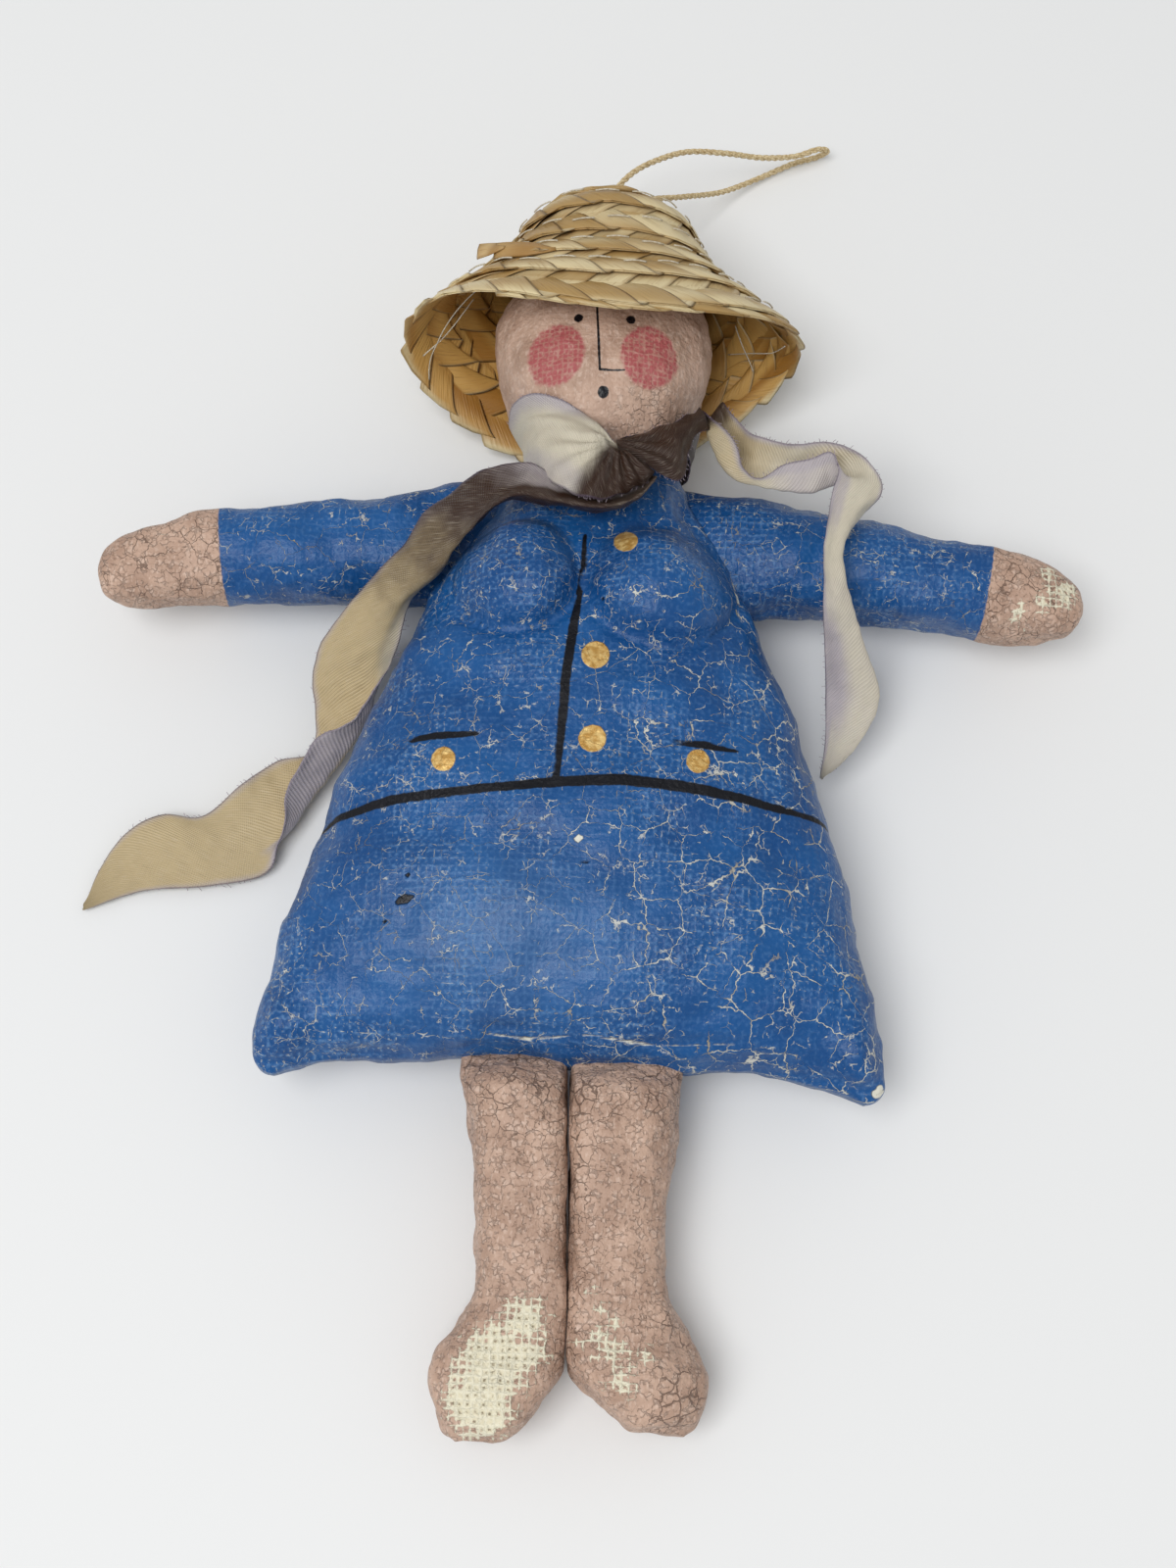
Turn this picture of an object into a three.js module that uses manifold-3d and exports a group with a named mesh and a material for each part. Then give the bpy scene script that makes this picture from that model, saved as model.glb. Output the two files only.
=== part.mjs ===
// A stuffed, painted canvas lady doll that hangs by a twine loop, lying on its back.
// Millimetres. +Z is the doll's front, +Y its head end, +X its own left side.
// The origin is the middle of the flat on the body's back.
import * as THREE from "three";
import { mergeVertices } from "three/addons/utils/BufferGeometryUtils.js";
import Module from "manifold-3d";

const manifold = await Module();
manifold.setup();

// Cloth and clearances
const CANVAS = 0.8;
const SEAM_GAP = 0.3;
const FIT = 0.3;

// Body
const HEM_WIDTH = 78;
const SKIRT_LENGTH = 36.5;
const SKIRT_BULGE = 2;
const EAR_DROP = 2.2;
const CHEST_WIDTH = 41.5;
const ARMPIT_HEIGHT = 24.2;
const SHOULDER_WIDTH = 23;
const SHOULDER_HEIGHT = 42;
const BODY_FRONT = 15;
const BODY_BACK = 12.5;
const REST_FLAT = 0.5;
const SEAM_Z = BODY_BACK - REST_FLAT;

// Bust pads
const BUST_WIDTH = 16.5;
const BUST_HEIGHT = 14.5;
const BUST_RISE = 5.2;
const BUST_SPACING = 19.6;
const BUST_Y = 22.5;

// Arms
const ARM_LENGTH = 49;
const ARM_DROOP = THREE.MathUtils.degToRad(6.6);
const SLEEVE_WIDTH = 15.6;
const CUFF_WIDTH = 13.3;
const HAND_WIDTH = 11;
const ARM_DEPTH = 13.6;
const HAND_DEPTH = 10;
const SHOULDER_GAP = 0.55;

// Legs
const LEG_LENGTH = 43.5;
const LEG_TOP_WIDTH = 13.8;
const ANKLE_WIDTH = 11;
const FOOT_WIDTH = 13;
const FOOT_LENGTH = 19;
const FOOT_TURN_OUT = 5;
const LEG_DEPTH = 12;
const LEG_SEAM_DEPTH = 5;
const FOOT_DEPTH = 12.6;
const FOOT_LIFT = 0.6;
const LEG_GAP = 0.8;
const LEG_SHIFT = 1.5;

// Head
const NECK_WIDTH = 19.2;
const NECK_DEPTH = 14.4;
const FACE_WIDTH = 29.2;
const HEAD_LENGTH = 29;
const FACE_RISE = 12.6;
const NAPE_DEPTH = 10.6;
const HEAD_Z = 15.6;

// Straw hat
const HAT_STAND = 11.3;
const HAT_LENGTH = 20.6;
const CROWN_WIDTH = 24.6;
const BRIM_WIDTH = 53;
const BRIM_FRONT = 19.5;
const BRIM_BACK = 13.9;
const BRIM_DIP_FRONT = 6.5;
const BRIM_DIP_BACK = 10;
const PLAIT_WIDTH = 8;
const PLAIT_THICKNESS = 0.9;
const ROW_PITCH = 6.4;
const ROW_STEP = 1.5;
const CORD_HOLE_RADIUS = 1.9;
const GLUE_LENGTH = 4.5;

// Scarf ribbon
const RIBBON_WIDTH = 10.5;
const RIBBON_THICKNESS = 0.6;
const KNOT_SIZE = 12;

// Hanging cord
const CORD_DIAMETER = 0.8;
const CORD_KNOT_DIAMETER = 4.6;

// Facets
const ROUND_STEPS = 30;
const FULLNESS = 0.85;

const v3 = (x, y, z) => new THREE.Vector3(x, y, z);

// Gathers triangles and makes one closed surface that faces out
class Skin {
  constructor() {
    this.corners = [];
  }
  triangle(a, b, c) {
    const tiny = 1e-6;
    if (a.distanceTo(b) < tiny || b.distanceTo(c) < tiny || c.distanceTo(a) < tiny) return;
    this.corners.push(a, b, c);
  }
  quad(a, b, c, d) {
    this.triangle(a, b, c);
    this.triangle(a, c, d);
  }
  sheet(grid, flip) {
    for (let i = 0; i + 1 < grid.length; i++) {
      for (let j = 0; j + 1 < grid[i].length; j++) {
        const [a, b, c, d] = [grid[i][j], grid[i][j + 1], grid[i + 1][j + 1], grid[i + 1][j]];
        if (flip) this.quad(a, d, c, b);
        else this.quad(a, b, c, d);
      }
    }
  }
  fan(ring, flip) {
    const middle = v3(0, 0, 0);
    ring.forEach((p) => middle.addScaledVector(p, 1 / ring.length));
    ring.forEach((p, i) => {
      const next = ring[(i + 1) % ring.length];
      if (flip) this.triangle(middle, next, p);
      else this.triangle(middle, p, next);
    });
  }
  geometry() {
    let volume = 0;
    const c = this.corners;
    for (let i = 0; i < c.length; i += 3) {
      volume += c[i].dot(c[i + 1].clone().cross(c[i + 2]));
    }
    if (volume < 0) {
      for (let i = 0; i < c.length; i += 3) [c[i + 1], c[i + 2]] = [c[i + 2], c[i + 1]];
    }
    const flat = new THREE.BufferGeometry();
    flat.setAttribute("position", new THREE.Float32BufferAttribute(c.flatMap((p) => p.toArray()), 3));
    const joined = mergeVertices(flat, 1e-4);
    joined.computeVertexNormals();
    return joined;
  }
}

// A closed solid through a run of rings with as many points each
function loft(rings) {
  const skin = new Skin();
  skin.sheet(rings.map((ring) => [...ring, ring[0]]), false);
  skin.fan(rings[0], true);
  skin.fan(rings[rings.length - 1], false);
  return skin.geometry();
}

// A stuffed form: two edge lines with the depth of cloth in front of and behind the seam between them
function makeForm(stations, ends) {
  const curve = (pick) => new THREE.CatmullRomCurve3(stations.map(pick));
  const middles = stations.map((s) => v3((s.a[0] + s.b[0]) / 2, (s.a[1] + s.b[1]) / 2, s.z));
  const pointed = stations.map((s) => Math.hypot(s.a[0] - s.b[0], s.a[1] - s.b[1]) < 1e-6);
  return {
    edgeA: curve((s) => v3(s.a[0], s.a[1], s.z)),
    edgeB: curve((s) => v3(s.b[0], s.b[1], s.z)),
    depth: curve((s) => v3(s.front, s.back, 0)),
    spine: new THREE.CatmullRomCurve3(middles),
    length: new THREE.CatmullRomCurve3(middles).getLength(),
    pointed: [pointed[0], pointed[pointed.length - 1]],
    cornerDrop: 0,
    floor: -Infinity,
    ...ends,
  };
}

// The section at share t of the form, drawn in by inset
function sectionAt(form, t, inset) {
  const step = inset / form.length;
  const low = form.closedStart ? step : 0;
  const high = form.closedEnd ? step : 0;
  const s = THREE.MathUtils.clamp(low + t * (1 - low - high), 0, 1);
  const a = form.edgeA.getPoint(s);
  const b = form.edgeB.getPoint(s);
  const half = a.clone().sub(b).multiplyScalar(0.5);
  const width = half.length();
  const depth = form.depth.getPoint(s);
  const atStart = t === 0 && form.closedStart;
  const atEnd = t === 1 && form.closedEnd;
  const shut = atStart || atEnd;
  const tip = (atStart && form.pointed[0]) || (atEnd && form.pointed[1]);
  const middle = a.add(b).multiplyScalar(0.5);
  if (atEnd && inset < 0) middle.addScaledVector(form.spine.getTangent(1), -inset);
  half.multiplyScalar(tip || width < 1e-6 ? 0 : Math.max(width - inset, 0.05) / width);
  return {
    middle,
    half,
    front: shut ? 0 : Math.max(depth.x - inset, 0.05),
    back: shut ? 0 : Math.max(depth.y - inset, 0.05),
    drop: form.cornerDrop * (1 - s) ** 6,
    floor: form.floor + inset,
  };
}

// A point of a section: angle 0 on edge A, a half turn over the front to edge B, then the back
function sectionPoint(section, angle, seamGap) {
  const c = Math.cos(angle);
  const s = Math.sin(angle);
  const across = Math.sign(c) * Math.abs(c) ** FULLNESS;
  const rise = Math.abs(s) ** FULLNESS;
  const point = section.middle.clone().addScaledVector(section.half, across);
  const frontSide = angle <= Math.PI + 1e-9;
  point.z += frontSide ? seamGap / 2 + section.front * rise : -seamGap / 2 - section.back * rise;
  point.z = Math.max(point.z, section.floor);
  point.y -= section.drop * across ** 4;
  return point;
}

// One canvas panel: the front or the back half of a form, open on the inside
function panel(form, along, around, front) {
  const grid = (inset) => {
    const rows = [];
    for (let i = 0; i <= along; i++) {
      const section = sectionAt(form, i / along, inset);
      const row = [];
      for (let j = 0; j <= around; j++) {
        const share = (Math.PI * j) / around;
        const angle = front ? share : share + Math.PI + (j === 0 ? 2e-9 : 0);
        row.push(sectionPoint(section, angle, SEAM_GAP));
      }
      rows.push(row);
    }
    return rows;
  };
  const outer = grid(0);
  const inner = grid(CANVAS);
  const last = outer.length - 1;
  const skin = new Skin();
  skin.sheet(outer, false);
  skin.sheet(inner, true);
  skin.sheet([outer[0], inner[0]], true);
  skin.sheet([outer[last], inner[last]], false);
  skin.sheet([outer.map((row) => row[0]), inner.map((row) => row[0])], false);
  skin.sheet([outer.map((row) => row[around]), inner.map((row) => row[around])], true);
  return skin.geometry();
}

// The whole form as one solid, drawn in or grown
function solid(form, along, around, inset) {
  const rings = [];
  for (let i = 0; i <= along; i++) {
    const section = sectionAt(form, i / along, inset);
    const ring = [];
    for (let j = 0; j < 2 * around; j++) ring.push(sectionPoint(section, (Math.PI * j) / around, 0));
    rings.push(ring);
  }
  return loft(rings);
}

const group = new THREE.Group();
group.name = "doll";

const COLOURS = {
  coat: 0x3f6d9e, skin: 0xb98b76, straw: 0xc9a877, silk: 0xd9cdbb, twine: 0xb49a6c,
  cotton: 0xe9e4d8, glue: 0xd8d2c0,
};

function addMesh(parent, name, geometry, colour) {
  const mesh = new THREE.Mesh(geometry, new THREE.MeshStandardMaterial({ color: COLOURS[colour] }));
  mesh.name = name;
  parent.add(mesh);
  return mesh;
}

// Two panels with the stuffing between them
function addStuffed(parent, name, form, along, around, colour) {
  const front = addMesh(parent, `${name}_front`, panel(form, along, around, true), colour);
  addMesh(parent, `${name}_back`, panel(form, along, around, false), colour);
  addMesh(parent, `${name}_stuffing`, solid(form, along, around, CANVAS + FIT), "cotton");
  return front;
}

function toManifold(geometry) {
  const index = geometry.index.array;
  return new manifold.Manifold(new manifold.Mesh({
    numProp: 3,
    vertProperties: new Float32Array(geometry.attributes.position.array),
    triVerts: new Uint32Array(index),
  }));
}

function fromManifold(body) {
  const mesh = body.getMesh();
  const geometry = new THREE.BufferGeometry();
  const places = new Float32Array((mesh.vertProperties.length / mesh.numProp) * 3);
  for (let i = 0; i < places.length / 3; i++) {
    for (let k = 0; k < 3; k++) places[3 * i + k] = mesh.vertProperties[i * mesh.numProp + k];
  }
  geometry.setAttribute("position", new THREE.BufferAttribute(places, 3));
  geometry.setIndex([...mesh.triVerts]);
  geometry.computeVertexNormals();
  return geometry;
}

// Body of the coat, from the hem to the shoulders
const hemY = -SKIRT_LENGTH;
const bodyRun = ARMPIT_HEIGHT + SKIRT_LENGTH;
function coatStation(share, swell) {
  const half = THREE.MathUtils.lerp(HEM_WIDTH, CHEST_WIDTH, share) / 2 + SKIRT_BULGE * Math.sin(Math.PI * share);
  return station(half, hemY + share * bodyRun, swell);
}
function station(half, y, swell) {
  return { a: [half, y], b: [-half, y], z: SEAM_Z, front: BODY_FRONT * swell, back: BODY_BACK * swell };
}
const bodyForm = makeForm([
  coatStation(0, 0),
  coatStation(0.03, 0.4),
  coatStation(0.11, 0.7),
  coatStation(0.25, 0.93),
  coatStation(0.45, 1),
  coatStation(0.65, 1),
  coatStation(0.85, 0.95),
  coatStation(1, 0.87),
  station((CHEST_WIDTH + SHOULDER_WIDTH) / 4, (ARMPIT_HEIGHT + SHOULDER_HEIGHT) / 2, 0.72),
  station(SHOULDER_WIDTH / 2, SHOULDER_HEIGHT, 0.52),
], { closedStart: true, closedEnd: false, cornerDrop: EAR_DROP, floor: 0 });
const bodyFront = addStuffed(group, "body", bodyForm, 14, 14, "coat");

// Bust pads sewn on the chest, cut where they lie on the body
const bodyGrown = toManifold(solid(bodyForm, 20, 16, -FIT));
const chestZ = SEAM_Z + BODY_FRONT * 0.87;
const padShape = new THREE.SphereGeometry(1, 16, 10);
padShape.rotateX(Math.PI / 2);
padShape.deleteAttribute("uv");
padShape.deleteAttribute("normal");
padShape.scale(BUST_WIDTH / 2, BUST_HEIGHT / 2, BUST_RISE);
function bustPad(side) {
  const pad = mergeVertices(padShape.clone().translate(side * BUST_SPACING / 2, BUST_Y, chestZ - FIT), 1e-4);
  return fromManifold(toManifold(pad).subtract(bodyGrown));
}
const bustPads = [["left", 1], ["right", -1]].map(
  ([word, side]) => addMesh(group, `${word}_bust_pad`, bustPad(side), "coat"),
);

// Arms, drawn for the left side about the middle of the shoulder seam
const shoulderX = (CHEST_WIDTH + SHOULDER_WIDTH) / 4;
const shoulderY = (ARMPIT_HEIGHT + SHOULDER_HEIGHT) / 2;
const seamX = (CHEST_WIDTH - SHOULDER_WIDTH) / 4;
const seamY = (SHOULDER_HEIGHT - ARMPIT_HEIGHT) / 2;
const seamLength = Math.hypot(seamX, seamY);
const outX = (SHOULDER_GAP * seamY) / seamLength;
const outY = (SHOULDER_GAP * seamX) / seamLength;
function armStation(share, width, depth) {
  const along = share * ARM_LENGTH;
  const x = along * Math.cos(ARM_DROOP);
  const y = -along * Math.sin(ARM_DROOP);
  const nx = (Math.sin(ARM_DROOP) * width) / 2;
  const ny = (Math.cos(ARM_DROOP) * width) / 2;
  return { a: [x + nx, y + ny], b: [x - nx, y - ny], z: 0, front: depth / 2, back: depth / 2 };
}
const armForm = makeForm([
  { a: [outX - seamX, outY + seamY], b: [outX + seamX, outY - seamY], z: 0, front: ARM_DEPTH / 2, back: ARM_DEPTH / 2 },
  armStation(0.3, SLEEVE_WIDTH, ARM_DEPTH),
  armStation(0.5, (SLEEVE_WIDTH + CUFF_WIDTH) / 2, ARM_DEPTH * 0.97),
  armStation(0.7, CUFF_WIDTH, (ARM_DEPTH + HAND_DEPTH) / 2),
  armStation(0.88, HAND_WIDTH, HAND_DEPTH),
  armStation(0.965, HAND_WIDTH * 0.7, HAND_DEPTH * 0.7),
  armStation(1, 0, 0),
], { closedStart: false, closedEnd: true });
const armFronts = [["left", 1], ["right", -1]].map(([word, side]) => {
  const arm = new THREE.Group();
  arm.position.set(side * shoulderX, shoulderY, SEAM_Z);
  arm.scale.x = side;
  group.add(arm);
  return addStuffed(arm, `${word}_arm`, armForm, 9, 7, "coat");
});

// Legs, drawn for the left side about the middle of the hem seam
const footZ = FOOT_DEPTH / 2 + FOOT_LIFT - SEAM_Z;
const ankleY = FOOT_LENGTH - LEG_LENGTH;
const innerX = LEG_GAP / 2;
function legStation(inner, outer, innerY, outerY, drop, depth) {
  const z = footZ * drop;
  return { a: [outer, outerY], b: [inner, innerY], z, front: depth / 2, back: depth / 2 };
}
const heelX = innerX + FOOT_TURN_OUT;
const legForm = makeForm([
  legStation(innerX, LEG_TOP_WIDTH, -FIT, -FIT, 0, LEG_SEAM_DEPTH),
  legStation(innerX, LEG_TOP_WIDTH * 0.97, ankleY * 0.18, ankleY * 0.18, 0.1, LEG_DEPTH * 0.92),
  legStation(innerX, (LEG_TOP_WIDTH + ANKLE_WIDTH) / 2, ankleY * 0.5, ankleY * 0.5, 0.4, LEG_DEPTH),
  legStation(innerX, ANKLE_WIDTH, ankleY, ankleY, 0.8, LEG_DEPTH * 0.96),
  legStation(innerX, FOOT_WIDTH, ankleY - FOOT_LENGTH * 0.5, ankleY - FOOT_LENGTH * 0.34, 1, FOOT_DEPTH),
  legStation(heelX * 0.6, heelX + FOOT_WIDTH * 0.86, ankleY - FOOT_LENGTH * 0.76, ankleY - FOOT_LENGTH * 0.62, 1, FOOT_DEPTH),
  legStation(heelX * 1.25, heelX + FOOT_WIDTH * 0.8, ankleY - FOOT_LENGTH * 0.94, ankleY - FOOT_LENGTH * 0.88, 1, FOOT_DEPTH * 0.7),
  legStation(heelX + FOOT_WIDTH * 0.45, heelX + FOOT_WIDTH * 0.45, -LEG_LENGTH, -LEG_LENGTH, 1, 0),
], { closedStart: false, closedEnd: true });
const legs = new THREE.Group();
legs.position.set(LEG_SHIFT, hemY, SEAM_Z);
group.add(legs);
[["left", 1], ["right", -1]].forEach(([word, side]) => {
  const leg = new THREE.Group();
  leg.scale.x = side;
  legs.add(leg);
  addStuffed(leg, `${word}_leg`, legForm, 10, 6, "skin");
});

// Head, from the neck up into the hat
const neckY = SHOULDER_HEIGHT + FIT;
function headStation(share, width, front, back, z) {
  const y = neckY + share * HEAD_LENGTH;
  return { a: [width / 2, y], b: [-width / 2, y], z, front, back };
}
const headForm = makeForm([
  headStation(0, NECK_WIDTH, NECK_DEPTH / 2, NECK_DEPTH / 2, SEAM_Z + (HEAD_Z - SEAM_Z) * 0.35),
  headStation(0.13, (NECK_WIDTH + FACE_WIDTH) / 2 - 0.8, FACE_RISE * 0.82, NAPE_DEPTH * 0.86, SEAM_Z + (HEAD_Z - SEAM_Z) * 0.7),
  headStation(0.33, FACE_WIDTH * 0.92, FACE_RISE * 0.96, NAPE_DEPTH, HEAD_Z),
  headStation(0.61, FACE_WIDTH, FACE_RISE, NAPE_DEPTH, HEAD_Z),
  headStation(0.78, FACE_WIDTH * 0.94, FACE_RISE * 0.97, NAPE_DEPTH * 0.97, HEAD_Z),
  headStation(0.9, FACE_WIDTH * 0.76, FACE_RISE * 0.8, NAPE_DEPTH * 0.8, HEAD_Z),
  headStation(0.975, FACE_WIDTH * 0.45, FACE_RISE * 0.48, NAPE_DEPTH * 0.48, HEAD_Z),
  headStation(1, 0, 0, 0, HEAD_Z),
], { closedStart: false, closedEnd: true });
addStuffed(group, "head", headForm, 11, 9, "skin");

// Hat: the crown and brim as one surface from the top to the edge
const hatProfile = [
  { drop: 0, crown: 0, flare: 0 },
  { drop: 0.025, crown: 0.37, flare: 0 },
  { drop: 0.08, crown: 0.65, flare: 0 },
  { drop: 0.175, crown: 0.88, flare: 0 },
  { drop: 0.315, crown: 1, flare: 0 },
  { drop: 0.485, crown: 1, flare: 0.12 },
  { drop: 0.655, crown: 1, flare: 0.37 },
  { drop: 0.815, crown: 1, flare: 0.68 },
  { drop: 1, crown: 1, flare: 1 },
].map(({ drop, crown, flare }) => {
  const reach = (brim) => (crown * CROWN_WIDTH) / 2 + flare * (brim - CROWN_WIDTH / 2);
  return { drop, side: reach(BRIM_WIDTH / 2), front: reach(BRIM_FRONT), back: reach(BRIM_BACK) };
});
const hatTopY = neckY + HEAD_LENGTH + HAT_STAND;
const hatSide = new THREE.CatmullRomCurve3(hatProfile.map((p) => v3(p.side, hatTopY - p.drop * HAT_LENGTH, 0)));
const hatDepth = new THREE.CatmullRomCurve3(hatProfile.map((p) => v3(p.front, p.back, 0)));
const hatRun = hatSide.getLength();

// A point of the hat's middle surface, run millimetres from the top along its side
function hatPoint(run, angle) {
  const share = THREE.MathUtils.clamp(run / hatRun, 0, 1);
  const t = hatSide.getUtoTmapping(share);
  const side = hatSide.getPoint(t);
  const depth = hatDepth.getPoint(t);
  const s = Math.sin(angle);
  const dip = (s > 0 ? BRIM_DIP_FRONT : BRIM_DIP_BACK) * share ** 3 * s * s;
  return v3(side.x * Math.cos(angle), side.y - dip, HEAD_Z + (s > 0 ? depth.x : depth.y) * s);
}

// The same point moved out of the surface
function hatOffset(run, angle, offset) {
  const d = 0.02;
  const inside = Math.min(Math.max(run, 0.3), hatRun - 2 * d);
  const alongRun = hatPoint(inside + d, angle).sub(hatPoint(inside - d, angle));
  const alongAngle = hatPoint(inside, angle + d).sub(hatPoint(inside, angle - d));
  const normal = alongAngle.cross(alongRun).normalize();
  const outward = v3(Math.cos(angle), 0.4, Math.sin(angle));
  if (normal.dot(outward) < 0) normal.negate();
  return hatPoint(run, angle).addScaledVector(normal, offset);
}

// One plait wound from the crown to the brim, each row standing over the next
const plaitStart = CORD_HOLE_RADIUS + PLAIT_WIDTH - ROW_PITCH;
const plaitTurns = (hatRun - plaitStart) / ROW_PITCH + 1;
const plaitSteps = Math.ceil(plaitTurns * ROUND_STEPS);
const plaitRings = [];
for (let i = 0; i <= plaitSteps; i++) {
  const turn = (plaitTurns * i) / plaitSteps;
  const angle = Math.PI / 2 + turn * 2 * Math.PI;
  const low = plaitStart + turn * ROW_PITCH;
  const middle = low - PLAIT_WIDTH / 2;
  const runs = [Math.max(low - PLAIT_WIDTH, CORD_HOLE_RADIUS), Math.min(low, hatRun)];
  const offset = (run, side) => ((run - middle) * ROW_STEP) / ROW_PITCH + (side * PLAIT_THICKNESS) / 2;
  plaitRings.push([
    hatOffset(runs[0], angle, offset(runs[0], -1)),
    hatOffset(runs[1], angle, offset(runs[1], -1)),
    hatOffset(runs[1], angle, offset(runs[1], 1)),
    hatOffset(runs[0], angle, offset(runs[0], 1)),
  ]);
}
addMesh(group, "straw_hat", loft(plaitRings), "straw");

// The least gap between rows of the plait, measured across the overlap
let rowGap = Infinity;
for (let i = 0; i + ROUND_STEPS < plaitRings.length; i++) {
  const over = plaitRings[i];
  const under = plaitRings.slice(i + ROUND_STEPS - 4, i + ROUND_STEPS + 5);
  under.forEach((ring) => {
    rowGap = Math.min(rowGap, over[1].distanceTo(ring[3]), over[1].distanceTo(ring[2]));
  });
}
console.log(`straw_hat least gap to itself ${rowGap.toFixed(2)} mm`);

// Glue between the head and the crown
const headGrown = toManifold(solid(headForm, 11, 9, -2 * FIT));
const crownInset = (PLAIT_WIDTH / 2) * (ROW_STEP / ROW_PITCH) + PLAIT_THICKNESS / 2 + FIT;
function glueRing(run) {
  const ring = [];
  for (let j = 0; j < 24; j++) ring.push(hatOffset(run, (2 * Math.PI * j) / 24, -crownInset));
  return ring;
}
const glueRun = hatRun * 0.47;
const glueRings = [0, 0.5, 1].map((share) => glueRing(glueRun + share * GLUE_LENGTH));
addMesh(group, "hat_glue", fromManifold(toManifold(loft(glueRings)).subtract(headGrown)), "glue");

// Cord loop from the knot under the crown, out of the top and back
const holeY = hatTopY - crownInset;
const knotRadius = CORD_KNOT_DIAMETER / 2;
const knotY = holeY - knotRadius - FIT;
const exitX = CORD_DIAMETER * 0.75;
const cordStart = knotY + knotRadius + FIT;
const cordRoute = [
  v3(-exitX, cordStart, HEAD_Z),
  v3(-exitX, hatTopY + 0.8, HEAD_Z),
  v3(0.2, 86.4, 15.8),
  v3(2.6, 90.4, 15),
  v3(5.8, 93.7, 13.6),
  v3(10.4, 97, 11.6),
  v3(16, 99, 9),
  v3(21.5, 100.6, 6.2),
  v3(26.5, 102.6, 4.2),
  v3(29.8, 104.2, 3.9),
  v3(31.5, 105.2, 2.3),
  v3(30, 105.2, 0.7),
  v3(26.5, 103.8, 0.7),
  v3(21.5, 100.6, 1.2),
  v3(16, 96.2, 3.6),
  v3(10.4, 91.4, 8.8),
  v3(5.8, 87.8, 13),
  v3(2.6, 85.6, 15.2),
  v3(exitX, hatTopY + 0.6, HEAD_Z),
  v3(exitX, cordStart, HEAD_Z),
];
const cordCurve = new THREE.CatmullRomCurve3(cordRoute);
const cordSection = new THREE.Shape();
for (let i = 0; i < 8; i++) {
  const angle = (i * Math.PI) / 4;
  const [x, y] = [(Math.cos(angle) * CORD_DIAMETER) / 2, (Math.sin(angle) * CORD_DIAMETER) / 2];
  if (i === 0) cordSection.moveTo(x, y);
  else cordSection.lineTo(x, y);
}
cordSection.closePath();
const cordSteps = Math.round(cordCurve.getLength() / (2.4 * CORD_DIAMETER));
addMesh(group, "hanging_cord", new THREE.ExtrudeGeometry(cordSection, {
  steps: cordSteps, extrudePath: cordCurve, bevelEnabled: false, curveSegments: 1,
}), "twine");
const knotMesh = addMesh(group, "hanging_cord_knot", new THREE.SphereGeometry(knotRadius, 12, 8), "twine");
knotMesh.position.set(0, knotY, HEAD_Z);

// Scarf: the band round the neck, laid on the head's own shape and open in front under the knot
const bandInset = -(FIT + RIBBON_THICKNESS);
const bandLow = 0.075;
const bandHigh = 0.25;
const bandFrom = THREE.MathUtils.degToRad(112);
const bandTo = THREE.MathUtils.degToRad(428);
const bandRings = [];
for (let i = 0; i <= ROUND_STEPS; i++) {
  const angle = (bandFrom + ((bandTo - bandFrom) * i) / ROUND_STEPS) % (2 * Math.PI);
  const place = (share, inset) => sectionPoint(
    sectionAt(headForm, THREE.MathUtils.lerp(bandLow, bandHigh, share), inset), angle, SEAM_GAP,
  );
  bandRings.push([
    ...[0, 0.5, 1].map((share) => place(share, -FIT)),
    ...[1, 0.5, 0].map((share) => place(share, bandInset)),
  ]);
}
addMesh(group, "scarf_neck_band", loft(bandRings), "silk");

// The knot in front of the neck, cut where it lies on the band and on the chest
const knotShape = new THREE.SphereGeometry(KNOT_SIZE / 2, 16, 12);
knotShape.deleteAttribute("uv");
knotShape.deleteAttribute("normal");
knotShape.scale(1, 0.62, 0.62);
const knotBall = mergeVertices(knotShape.translate(
  KNOT_SIZE * 0.22, SHOULDER_HEIGHT - KNOT_SIZE * 0.22, SEAM_Z + NECK_DEPTH / 2 + KNOT_SIZE * 0.42,
), 1e-4);
const bandGrown = toManifold(solid(headForm, 20, 16, bandInset - FIT));
addMesh(group, "scarf_knot", fromManifold(toManifold(knotBall).subtract(bandGrown).subtract(bodyGrown)), "silk");

// How high the doll stands over a place on the table
group.updateMatrixWorld(true);
const supports = [bodyFront, ...armFronts, ...bustPads];
function heightAt(x, y) {
  const ray = new THREE.Raycaster(v3(x, y, 200), v3(0, 0, -1));
  const hits = ray.intersectObjects(supports, false);
  return hits.length > 0 ? hits[0].point.z : 0;
}

// A ribbon laid along places, each with its own height or a lift over what lies under its width
function ribbon(places) {
  const flat = new THREE.CatmullRomCurve3(places.map((p) => v3(p.x, p.y, 0)));
  const levels = places.map((p, i) => {
    if (p.z !== undefined) return p.z;
    const along = flat.getTangent(i / (places.length - 1));
    const shares = [-0.5, -0.25, 0, 0.25, 0.5];
    const under = shares.map((share) => heightAt(
      p.x - along.y * share * RIBBON_WIDTH, p.y + along.x * share * RIBBON_WIDTH,
    ));
    return Math.max(...under) + RIBBON_THICKNESS / 2 + p.lift;
  });
  const route = new THREE.CatmullRomCurve3(places.map((p, i) => v3(p.x, p.y, levels[i])));
  const steps = 3 * (places.length - 1);
  const rings = [];
  for (let i = 0; i <= steps; i++) {
    const middle = route.getPoint(i / steps);
    const along = route.getTangent(i / steps);
    const across = v3(0, 0, 1).cross(along).normalize();
    const up = along.clone().cross(across).normalize();
    const corner = (side, level) => middle.clone()
      .addScaledVector(across, (side * RIBBON_WIDTH) / 2)
      .addScaledVector(up, (level * RIBBON_THICKNESS) / 2);
    rings.push([corner(-1, -1), corner(1, -1), corner(1, 1), corner(-1, 1)]);
  }
  return loft(rings);
}

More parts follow.
